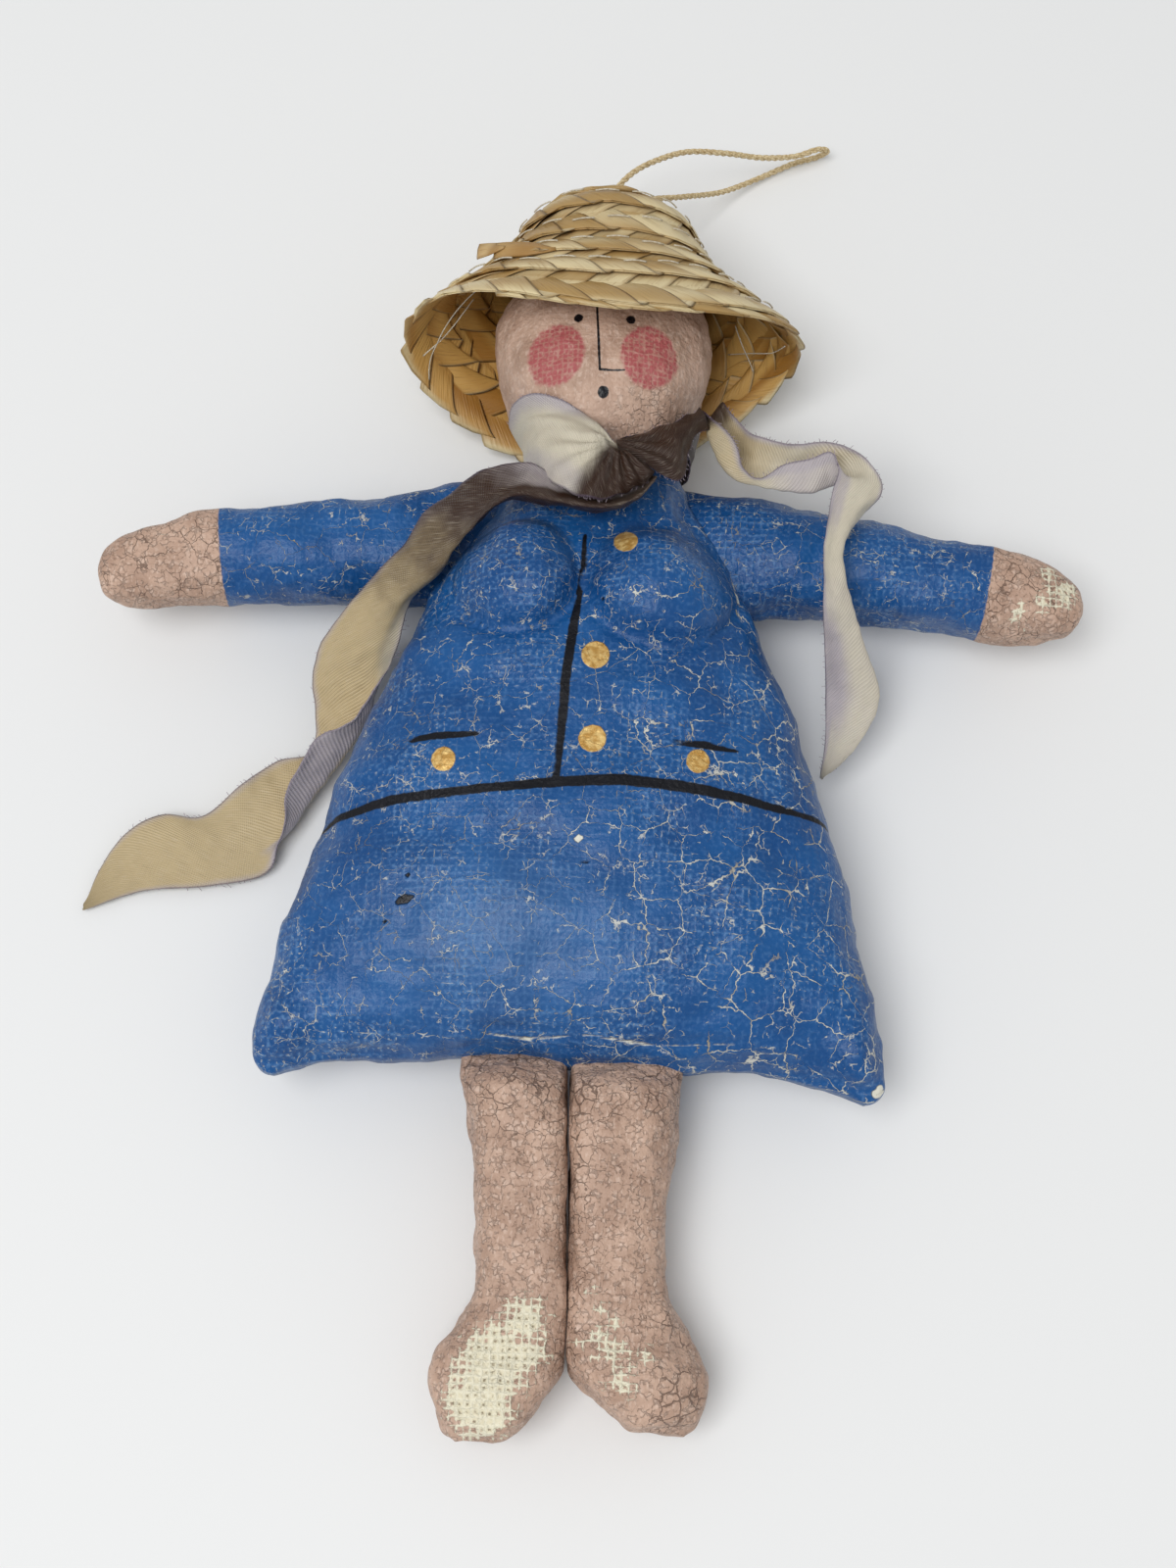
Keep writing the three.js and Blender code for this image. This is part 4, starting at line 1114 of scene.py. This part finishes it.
PLAIT_START = CORD_HOLE_RADIUS + PLAIT_WIDTH - ROW_PITCH
PLAIT_TURNS = (HAT_RUN - PLAIT_START) / ROW_PITCH + 1
plait_turn = np.linspace(0, PLAIT_TURNS, 900)
plait_angle = np.pi / 2 + 2 * np.pi * plait_turn
plait_low = np.minimum(PLAIT_START + plait_turn * ROW_PITCH, HAT_RUN)
plait_high = np.maximum(PLAIT_START + plait_turn * ROW_PITCH - PLAIT_WIDTH, CORD_HOLE_RADIUS)
plait_half = (plait_low - plait_high) / 2
plait_centre = (plait_low + plait_high) / 2
drift = waves(hat_surface(plait_centre, plait_angle), 17.0, 47) * np.clip(plait_turn, 0, 1)
plait_middle = plait_centre + 0.4 * drift * (plait_low < HAT_RUN)
plait_along = run_length(hat_surface(plait_middle, plait_angle))
FOLD_SHARPNESS = 0.996
LEAF_LIFT = 0.28
LEAF_TILT = 0.2
LEAF_TOOTH = 0.6
LEAF_SECTION = [(-1, 0), (-0.85, 0.8), (0, 1), (0.85, 0.8), (1, 0), (0.85, -0.8), (0, -1), (-0.85, -0.8)]
leaf_side, leaf_level = np.array(LEAF_SECTION, float).T
leaf_flat = 1 - leaf_side * leaf_side
STUB_RUN = 24.7
STUB_HALF = 1.5
STUB_TILT = 0.8
STUB_LEAVES = [(1.95, 2.46, 0.5, 1.7), (2.36, 2.62, 1.7, 2.7)]
STITCH_START = 30.0
STITCH_END = plait_along[-1] * 0.72
STITCH_STEP = 4.2
STITCH_LENGTH = 2.7
STITCH_DROP = 1.4
STITCH_RADIUS = 0.11


def plait_at(along):
    """The angle and run of the plait's middle, along millimetres from its start."""
    return np.interp(along, plait_along, plait_angle), np.interp(along, plait_along, plait_middle)


def leaf_strand(k):
    """One of three leaves, folded at each edge of the plait and passing over and under the others."""
    along = np.arange(0.2, plait_along[-1] - 0.2, 0.4)[:, None]
    phase = 2 * np.pi * (k / 3 - along / PLAIT_LAY)
    wobble = waves(np.stack([along, along * 0, along * 0 + 50 * k], axis=-1), 9.0, 41 + k)
    half = np.interp(along, plait_along, plait_half) * (1 + 0.06 * wobble)
    zigzag = np.arcsin(FOLD_SHARPNESS * np.sin(phase)) / math.asin(FOLD_SHARPNESS)
    lift = LEAF_LIFT * np.sin(2 * phase) + 0.06 * wobble
    leaf = LEAF_REACH * (1 + 0.14 * np.roll(wobble, 9))
    angle, run = plait_at(np.clip(along + leaf_side * leaf, 0, plait_along[-1]))
    across = half * zigzag - leaf_side * LEAF_TOOTH * np.abs(zigzag) ** 3
    thick = LEAF_THICKNESS / 2 * leaf_level + 0.1 * leaf_flat
    raised = across * ROW_STEP / ROW_PITCH + lift - leaf_side * LEAF_TILT + thick
    # Where the painted underside shade goes: the leaves' lower faces
    under = (leaf_level < 0) * smoothly(across / half, 0.98, 0.8)
    tone = np.floor(2 * phase / np.pi) * 0.37 + k * 1.7
    whole = np.ones_like(raised)
    return hat_point(run + across, angle, raised), under, whole * leaf_side, whole * tone, whole * along


def stub_leaf(from_turn, to_turn, from_lift, to_lift):
    """A cut leaf end that stands off the hat where one row of the plait was joined."""
    share = np.linspace(0, 1, 14)[:, None]
    angle = from_turn + (to_turn - from_turn) * share
    lift = from_lift + (to_lift - from_lift) * share**1.5
    half = STUB_HALF * np.minimum(1, 0.15 + 2.2 * share) * (1 - 0.35 * share**3)
    raised = lift - leaf_side * STUB_TILT * share + LEAF_THICKNESS / 2 * leaf_level + 0.25 * leaf_flat
    whole = np.ones_like(raised)
    rings = hat_point(STUB_RUN + leaf_side * half, whole * angle, raised)
    # The cut stub takes some painted shade all over
    return rings, whole * 0.6, whole * leaf_side, whole * from_turn, whole * share * 6


leaves = [leaf_strand(k) for k in range(3)] + [stub_leaf(*place) for place in STUB_LEAVES]
points, faces = joined_tubes([leaf[0] for leaf in leaves])
under, across, tone, along = [np.concatenate([leaf[i].ravel() for leaf in leaves]) for i in range(1, 5)]
hat_plait = piece("hat_plait", points, faces, straw, under=under, across=across, tone=tone, along=along)

stitches = []
for start in np.arange(STITCH_START, STITCH_END, STITCH_STEP):
    angle, run = plait_at(np.linspace(start, start + STITCH_LENGTH, 7))
    run = run + STITCH_DROP + 0.4 * math.sin(start)
    bow = 0.75 + 0.14 * np.sin(np.linspace(0, np.pi, 7))
    thread_path = hat_point(run, angle, STITCH_DROP * ROW_STEP / ROW_PITCH + bow)
    stitches.append(round_tube(thread_path, STITCH_RADIUS, 5))
points, faces = joined_tubes(stitches)
hat_stitches = piece("hat_stitches", points, faces, thread)

GLUE_RUN = HAT_RUN * 0.47 + 2.2
GLUE_DEPTH = 2.1
GLUE_RADIUS = 0.75
GLUE_STRING_RADIUS = 0.09
GLUE_STRINGS = [
    (2.55, 3.5, 0.80, 0.99), (2.9, 3.25, 0.74, 0.97), (-0.5, 0.2, 0.78, 0.97), (-0.1, -0.45, 0.72, 0.9),
]
turn = np.linspace(0, 2 * np.pi, 100)
ring_path = hat_point(GLUE_RUN + 0.8 * np.sin(3 * turn), turn, np.full(100, -GLUE_DEPTH))
glue_tubes = [round_tube(ring_path, GLUE_RADIUS + 0.25 * np.sin(5 * turn), 8)]
for from_angle, to_angle, from_share, to_share in GLUE_STRINGS:
    angle = np.linspace(from_angle, to_angle, 24)
    run = np.linspace(from_share, to_share, 24) * HAT_RUN
    sag = -1.5 - 0.9 * np.sin(np.linspace(0, np.pi, 24))
    glue_tubes.append(round_tube(hat_point(run, angle, sag), GLUE_STRING_RADIUS, 5))
points, faces = joined_tubes(glue_tubes)
hat_glue_strings = piece("hat_glue_strings", points, faces, glue)


# Scarf: one bias-cut silk ribbon, made as its neck band, knot and two tails
SILK_STEP = 0.5
SILK_COLUMNS = 33
SILK_GAP = 0.4
PINCH = np.array([2.4, 39.2])
LONG_TAIL = [
    [(6.9, 37.3, 27), (7.1, 36.4, 27.2), (7.5, 35.4, 29), (7.2, 35.7, 27.4)],
    [(4.4, 37.5, 26.4), (4.9, 34.6, 26.6), (5.2, 32.1, 29.8), (4.9, 32.7, 27.4)],
    [(0.3, 37.1, 26.2), (0.6, 33.2, 26.4), (0.9, 30.4, 30), (0.8, 30.9, 27.4)],
    [(-5.5, 37.2, 25.4), (-4.5, 33.3, 27.4), (-4.7, 31.1, 29.6), (-4.9, 31.5, 27)],
    [(-11.1, 38.6, 24.6), (-9.0, 34.3, 27), (-9.5, 32.3, 28.6), (-9.8, 32.7, 25.8)],
    [(-16.6, 37.0, 23), (-13.1, 33.1, 25.8), (-12.8, 31.3, 27), (-13.2, 31.9, 24.6)],
    [(-21.6, 32.5, 21.8), (-17.4, 29.3, 24), (-16.3, 28.2, 24.6), (-16.9, 28.7, 22.4)],
    [(-25.5, 26.6, 21), (-21.7, 24.3, 22.6), (-20.0, 23.5, 22.6), (-19.8, 24.0, 20.6)],
    [(-30.1, 21.8, 18.5), (-26.8, 20.5, 20), (-24.3, 20.3, 20), (-23.2, 21.4, 18.5)],
    [(-34.7, 18.1, 11.5), (-31.0, 16.8, 14.5), (-27.5, 16.4, 15.5), (-24.7, 17.0, 14.5)],
    [(-36.0, 14.3, 8), (-32.4, 13.7, 10), (-27.9, 13.1, 11.2), (-26.1, 13.9, 12)],
    [(-35.5, 10.9, 5.5), (-32.4, 10.0, 6.5), (-28.3, 9.3, 8), (-29.4, 8.5, 11)],
    [(-36.2, 5.6, 3.2), (-34.1, 5.1, 3.4), (-31.5, 4.5, 5), (-35.2, 4.3, 9)],
    [(-40.3, 4.2, 3.2), (-37.6, 1.6, 2.6), (-35.0, -0.4, 3.4), (-38.3, -1.2, 6.6)],
    [(-44.8, 0.4, 3.5), (-41.7, -2.0, 2.8), (-38.3, -5.5, 2.6), (-38.7, -5.6, 4.4)],
    [(-49.6, -3.9, 2.8), (-46.8, -5.7, 2.6), (-43.5, -8.6, 2), (-40.5, -10.8, 1.8)],
    [(-55.5, -3.9, 2.4), (-53.3, -7.1, 2.6), (-51.0, -10.0, 2), (-48.0, -12.9, 1.2)],
    [(-60.8, -8.5, 1.8), (-59.6, -10.6, 1.8), (-58.2, -12.4, 1.5), (-56.4, -13.9, 0.9)],
    [(-63.8, -15.9, 1), (-63.8, -16.3, 1), (-63.8, -16.6, 1), (-63.9, -16.9, 0.8)],
]
SHORT_TAIL = [
    [(13.1, 48.2, 23.5), (14.0, 48.2, 21.5), (15.1, 50.0, 21), (16.0, 50.9, 21.5)],
    [(17.2, 43.2, 25.5), (14.3, 44.2, 23), (17.8, 44.4, 20.8), (18.8, 45.8, 23.6)],
    [(18.6, 39.2, 25.2), (17.0, 39.1, 23.4), (19.8, 42.2, 21.4), (20.9, 44.5, 24.2)],
    [(20.9, 38.4, 24.4), (20.8, 37.8, 23.4), (22.6, 41.5, 22), (23.7, 43.7, 24.4)],
    [(23.8, 40.0, 25.4), (24.4, 37.2, 23.6), (25.4, 41.2, 22.2), (26.3, 43.4, 24.8)],
    [(27.1, 40.5, 26.4), (27.8, 37.0, 24), (28.9, 41.2, 22.6), (29.6, 43.6, 25.2)],
    [(29.6, 41.3, 27), (30.2, 38.1, 24.4), (32.4, 40.7, 23.4), (33.5, 42.2, 25.4)],
    [(30.7, 39.2, 26.8), (32.0, 38.2, 26.2), (34.1, 38.2, 25.6), (36.1, 39.1, 25)],
    [(30.0, 35.9, 25.8), (31.4, 35.3, 26), (33.8, 35.6, 25.4), (36.3, 36.9, 24.4)],
    [(29.5, 32.3, 24.4), (30.7, 31.6, 25), (32.4, 32.2, 24.6), (34.1, 34.7, 22)],
    [(29.4, 28.1, 23), (30.4, 27.8, 23.8), (31.7, 28.3, 23.2), (30.4, 29.8, 20.8)],
    [(29.5, 23.0, 21.6), (31.0, 23.0, 22.2), (32.9, 23.9, 21), (30.6, 24.7, 18.8)],
    [(30.2, 19.2, 17), (32.4, 19.2, 17.6), (35.2, 19.8, 16.6), (32.4, 20.6, 14.6)],
    [(31.1, 14.2, 11.2), (34.2, 13.8, 11.6), (38.1, 14.3, 10.8), (36.2, 14.4, 9.2)],
    [(31.5, 9.0, 8), (33.2, 8.1, 8), (35.1, 7.9, 8), (34.2, 7.8, 7.4)],
    [(31.1, 4.7, 6), (31.2, 4.6, 6), (31.3, 4.5, 6), (31.4, 4.5, 5.8)],
]
KNOT_FAN = [
    [(2.1, 40.1, 29.4), (2.2, 39.4, 30.2), (2.3, 38.8, 30.4), (2.5, 38.8, 29.8)],
    [(4.5, 41.7, 28), (4.7, 39.8, 29.4), (4.8, 38.4, 30), (5.0, 37.7, 29.2)],
    [(7.3, 43.9, 26.4), (7.6, 40.5, 28.4), (7.9, 37.6, 29.2), (8.3, 36.0, 28.4)],
    [(9.2, 45.2, 25.6), (9.6, 41.6, 27.6), (10.1, 38.3, 28.2), (10.5, 35.9, 27.4)],
    [(10.4, 46.0, 25), (10.7, 43.7, 26.6), (10.8, 41.8, 27), (11.0, 40.1, 26)],
    [(11.8, 47.5, 24), (12.1, 45.8, 25.6), (12.2, 44.8, 25.8), (12.2, 44.2, 24.6)],
    [(12.9, 49.0, 23), (13.3, 47.5, 24.4), (13.7, 46.4, 24.6), (14.2, 45.7, 23.4)],
]
NECK_BAND = [
    [(7.2, 36.5, 29), (7.2, 36.1, 29.3), (7.1, 35.7, 29.3), (6.9, 35.5, 28.6)],
    [(4.6, 38.0, 29.6), (4.8, 36.3, 30.2), (4.7, 34.6, 30), (4.5, 33.7, 28.6)],
    [(1.8, 40.3, 29), (1.9, 37.6, 30.4), (2.0, 34.8, 30.2), (2.0, 32.4, 28.6)],
    [(-1.6, 45.2, 26), (-1.0, 41.4, 28.2), (-1.0, 37.0, 29.4), (-1.0, 32.2, 28.4)],
    [(-6.4, 48.9, 22.8), (-5.7, 44.4, 25.0), (-5.2, 39.5, 26.8), (-4.6, 33.8, 28)],
    [(-9.6, 49.8, 19.4), (-9.1, 46.4, 21), (-8.6, 42.9, 22), (-8.0, 38.8, 22.6)],
    [(-10.7, 50.2, 14), (-10.3, 47.6, 14.4), (-9.9, 45.0, 14.6), (-9.6, 42.6, 14.4)],
    [(-8.6, 52.0, 7), (-8.5, 49.2, 6.6), (-8.4, 46.4, 6.4), (-8.2, 43.8, 6.8)],
    [(0, 53.6, 4), (0, 50.6, 3.6), (0, 47.6, 3.6), (0, 44.8, 4.2)],
    [(9.6, 53.0, 7), (9.5, 50.0, 6.6), (9.4, 47.0, 6.4), (9.2, 44.2, 6.8)],
    [(13.4, 51.6, 14), (13.0, 49.0, 14.2), (12.6, 46.2, 14.4), (12.2, 43.6, 14.2)],
    [(12.6, 49.4, 20.6), (12.3, 47.6, 20.8), (11.8, 45.6, 21), (11.2, 43.4, 20.8)],
    [(9.4, 45.4, 24.2), (9.2, 43.4, 24.8), (9.0, 41.4, 25.2), (8.8, 39.6, 25)],
    [(4.6, 41.4, 26.8), (4.6, 40.4, 27.4), (4.6, 39.4, 27.6), (4.6, 38.4, 27.4)],
]
points, faces = joined_tubes(supports + [head])
support_tree = BVHTree.FromPolygons(points.tolist(), faces)


def sheet_normal(grid):
    """Directions out of a grid of points."""
    return unit(np.cross(np.gradient(grid, axis=0), np.gradient(grid, axis=1)))


def between(value, low, rise, fall, high):
    """1 between rise and fall, and smoothly down to 0 at low and high."""
    return smoothly(value, low, rise) * smoothly(value, high, fall)


def loft(stations, seed):
    """A grid through stations of a ribbon's edge, two lines and other edge, with small waves."""
    rails = np.array(stations, float)
    count, lines = rails.shape[:2]
    length = run_length(rails.mean(axis=1))[-1]
    along = spline(rails.reshape(count, -1), int(length / SILK_STEP)).reshape(-1, lines, 3)
    across = spline(along.transpose(1, 0, 2).reshape(lines, -1), SILK_COLUMNS)
    grid = across.reshape(SILK_COLUMNS, -1, 3).transpose(1, 0, 2)
    edge = np.linspace(-1, 1, SILK_COLUMNS) ** 4
    push = waves(grid, 5.0, seed) * 0.28 * edge + waves(grid, 2.2, seed + 1) * 0.07
    return grid + sheet_normal(grid) * push[..., None]


def clear(grid, rounds=6):
    """The grid lifted smoothly to lie clear of what it rests on."""
    need = np.zeros(grid.shape[:2])
    for place in np.ndindex(need.shape):
        x, y, z = grid[place]
        hit = support_tree.ray_cast(Vector((x, y, 60)), Vector((0, 0, -1)))[0]
        floor = hit.z if hit is not None else 0.0
        need[place] = max(0.0, floor + SILK_GAP - z)
    lift = need.copy()
    for _ in range(rounds):
        edge = np.pad(lift, 1, mode="edge")
        soft = (edge[:-2, 1:-1] + edge[2:, 1:-1] + edge[1:-1, :-2] + edge[1:-1, 2:]) / 4
        lift = np.maximum(need, soft)
    lifted = grid.copy()
    lifted[..., 2] += lift
    return lifted


def clear_of_head(grid, gap):
    """The grid pushed out sideways where it lies in the head."""
    line = spline(HEAD_STATIONS, 300)
    left, right, z, front, back = [np.interp(grid[..., 1], line[:, 1], line[:, k]) for k in (0, 2, 4, 5, 6)]
    half = np.where(grid[..., 0] > 0, left, -right)
    depth = np.where(grid[..., 2] > z, front, back) + gap
    dx, dz = grid[..., 0], grid[..., 2] - z
    power = 2 / FULLNESS
    reach = ((np.abs(dx) / (half + gap)) ** power + (np.abs(dz) / depth) ** power) ** (1 / power)
    grow = np.maximum(1, 1 / np.maximum(reach, 1e-3))
    return np.stack([dx * grow, grid[..., 1], z + dz * grow], axis=-1)


def pleated(grid, folds, height, seed):
    """The grid with pleats that fan out from the knot's pinch and fade away from it."""
    offset = grid[..., :2] - PINCH
    reach = np.linalg.norm(offset, axis=-1)
    turn = np.arctan2(offset[..., 1], -offset[..., 0])
    wave = np.sin(folds * turn + 0.5 * waves(grid, 4.0, seed))
    lifted = grid.copy()
    lifted[..., 2] += height * wave * between(reach, 0.3, 2.2, 4.0, 11.0)
    return lifted


def cloth(name, grid, tints):
    """A thin closed sheet from a grid of points, with its weave directions and tints as attributes."""
    rows, cols = grid.shape[:2]
    index = np.arange(rows * cols).reshape(rows, cols)
    corners = [index[:-1, :-1], index[:-1, 1:], index[1:, 1:], index[1:, :-1]]
    top = np.stack(corners, axis=-1).reshape(-1, 4)
    both = np.stack([top, index.size + top[:, ::-1]], axis=1).reshape(-1, 4)
    rim = np.concatenate([index[0], index[1:, -1], index[-1, -2::-1], index[-2:0:-1, 0]])
    ahead = np.roll(rim, -1)
    hem = np.stack([ahead, rim, index.size + rim, index.size + ahead], axis=-1)
    along = np.repeat(run_length(grid[:, cols // 2])[:, None], cols, axis=1)
    across = np.repeat(np.linspace(-1, 1, cols)[None, :], rows, axis=0)
    marks = {key: np.clip(tint(along / along.max(), across), 0, 1) for key, tint in tints.items()}
    marks.update(along=along, across=across)
    doubled = {key: np.concatenate([value.ravel()] * 2) for key, value in marks.items()}
    thick = sheet_normal(grid) * SILK_THICKNESS / 2
    points = np.concatenate([grid + thick, grid - thick])
    return piece(name, points, np.concatenate([both, hem]).tolist(), silk, **doubled)


long_grid = clear(loft(LONG_TAIL, 71))
silk_long_tail = cloth("silk_long_tail", long_grid, {
    "gold": lambda t, s: (
        smoothly(t, 0.14, 0.34) * (0.95 - 0.5 * smoothly(s, 0.2, 0.8) * smoothly(t, 0.72, 0.6))
    ),
    "lilac": lambda t, s: (
        0.5 * smoothly(np.abs(s), 0.72, 1.0)
        + 0.8 * smoothly(s, 0.25, 0.5) * between(t, 0.5, 0.56, 0.74, 0.8)
        + 0.7 * smoothly(t, 0.3, 0.22) * smoothly(s, 0.1, -0.3)
    ),
    "brown": lambda t, s: (
        0.75 * smoothly(t, 0.24, 0.12) * smoothly(s, -0.5, -0.1)
        + 0.36 * between(t, 0.05, 0.12, 0.2, 0.3)
        + 0.6 * between(t, 0.14, 0.24, 0.3, 0.5)
    ),
})
short_grid = clear(loft(SHORT_TAIL, 73))
silk_short_tail = cloth("silk_short_tail", short_grid, {
    "gold": lambda t, s: (
        0.6 * smoothly(t, 0.32, 0.1)
        + 0.4 * smoothly(np.abs(t - 0.3), 0.06, 0.0) * smoothly(s, 0.0, 0.5)
    ),
    "lilac": lambda t, s: (
        0.7 * smoothly(np.abs(s), 0.75, 1.0)
        + 0.6 * smoothly(s, 0.0, -0.4) * between(t, 0.16, 0.26, 0.44, 0.52)
        + 0.6 * smoothly(s, -0.1, -0.7) * between(t, 0.6, 0.7, 0.8, 0.95)
        + 0.3 * smoothly(t, 0.48, 0.6)
    ),
    "brown": lambda t, s: 0.8 * smoothly(t, 0.07, 0.0),
})
knot_grid = clear_of_head(pleated(loft(KNOT_FAN, 75), 13, 0.3, 93), 0.8)
silk_knot = cloth("silk_knot", knot_grid, {
    "gold": lambda t, s: 0 * t,
    "lilac": lambda t, s: 0.4 * smoothly(t, 0.85, 1.0),
    "brown": lambda t, s: 0.95 + 0 * t,
})
band_grid = pleated(loft(NECK_BAND, 77), 15, 0.42, 91)
band_share = np.linspace(0, 1, band_grid.shape[0])[:, None]
band_across = np.linspace(-1, 1, SILK_COLUMNS)[None, :]
ridge = np.exp(-(((band_across + 0.42) / 0.12) ** 2)) * between(band_share, 0.1, 0.18, 0.36, 0.45)
band_grid[..., 2] += 0.5 * ridge
band_grid = clear_of_head(band_grid, 0.5)
silk_neck_band = cloth("silk_neck_band", band_grid, {
    "gold": lambda t, s: 0.3 * smoothly(t, 0.35, 0.6),
    "lilac": lambda t, s: (
        0.75 * smoothly(s, -0.4, -1.0) * between(t, 0.1, 0.2, 0.35, 0.5)
        + 0.5 * smoothly(s, 0.1, 0.7) * smoothly(t, 0.12, 0.2)
    ),
    "brown": lambda t, s: smoothly(t, 0.65, 0.85) + smoothly(t - 0.07 * s, 0.17, 0.09),
})

# Loose threads along the cut edges of the silk
FRAY_COUNT = 80
FRAY_RADIUS = 0.035
FRAY_LENGTHS = (0.15, 0.55)
fray_chance = np.random.default_rng(81)


def frayed(name, grids):
    """Short loose threads out of the long edges of the grids."""
    frays = []
    share = np.linspace(0, 1, 5)[:, None]
    for grid, (column, inner) in itertools.product(grids, ((0, 1), (-1, -2))):
        edge = grid[2:-2, column]
        away = unit(edge - grid[2:-2, inner])
        for k in fray_chance.choice(len(edge), min(FRAY_COUNT, len(edge)), replace=False):
            reach = fray_chance.uniform(*FRAY_LENGTHS)
            bend = unit(fray_chance.normal(size=3)) * reach * 0.6
            hair = edge[k] + away[k] * share * reach + bend * share**2
            hair[:, 2] = np.maximum(hair[:, 2], 0.1)
            frays.append(round_tube(hair, FRAY_RADIUS, 4))
    points, faces = joined_tubes(frays)
    return piece(name, points, faces, fray_look)


silk_frays = frayed("silk_frays", (long_grid, knot_grid, band_grid))
short_frays = frayed("silk_short_frays", (short_grid,))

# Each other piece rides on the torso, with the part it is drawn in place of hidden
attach(coat_body, "torso")
stuffed(coat_body, "coat", "body", "left_bust_pad", "right_bust_pad")
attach(head_skin, "torso")
stuffed(head_skin, "skin", "head")
for made, node, slot in (
    (hat_plait, "straw_hat", "straw"),
    (hat_stitches, None, "straw"),
    (hat_glue_strings, "hat_glue", "glue"),
    (twine_loop, "hanging_cord", "twine"),
    (twine_knot, "hanging_cord_knot", "twine"),
    (silk_neck_band, "scarf_neck_band", "silk"),
    (silk_knot, "scarf_knot", "silk"),
    (silk_long_tail, "scarf_long_tail", "silk"),
    (silk_frays, None, "silk"),
):
    if node:
        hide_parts(node)
    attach(made, "torso")
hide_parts("scarf_short_tail")
for made in (silk_short_tail, short_frays):
    over_shoulder(made)

(cord_path * MM).tolist()


# Pale table, soft light from the upper left and a white room, in metres
TABLE_HALF = 2.0
TABLE_DROP = 0.0002
LAMP_PLACE = Vector((-0.3, -0.34, 1.06))
LAMP_AIM = Vector((0, 0, 0.01))
LAMP_SIZE = 0.6
LAMP_POWER = 8.0
ROOM_STRENGTH = 0.5
table_mesh = bpy.data.meshes.new("table")
corners = [(x * TABLE_HALF, y * TABLE_HALF, 0) for x, y in ((-1, -1), (1, -1), (1, 1), (-1, 1))]
table_mesh.from_pydata(corners, [], [(0, 1, 2, 3)])
table = placed("table", table_mesh)
table.location.z = -TABLE_DROP
table_look = bpy.data.materials.new("table")
table_look.use_nodes = True
table_shader = table_look.node_tree.nodes["Principled BSDF"]
table_shader.inputs["Base Color"].default_value = colour(234, 235, 235)
table_shader.inputs["Roughness"].default_value = 0.85
table_mesh.materials.append(table_look)

world = bpy.data.worlds.new("room")
bpy.context.scene.world = world
world.use_nodes = True
room = world.node_tree.nodes["Background"]
room.inputs["Color"].default_value = (1, 1, 1, 1)
room.inputs["Strength"].default_value = ROOM_STRENGTH

lamp_data = bpy.data.lights.new("window", "AREA")
lamp_data.size = LAMP_SIZE
lamp_data.energy = LAMP_POWER
lamp = placed("window", lamp_data)
lamp.location = LAMP_PLACE
lamp.rotation_euler = (LAMP_AIM - LAMP_PLACE).to_track_quat("-Z", "Y").to_euler()

bpy.context.scene.view_settings.view_transform = "Standard"
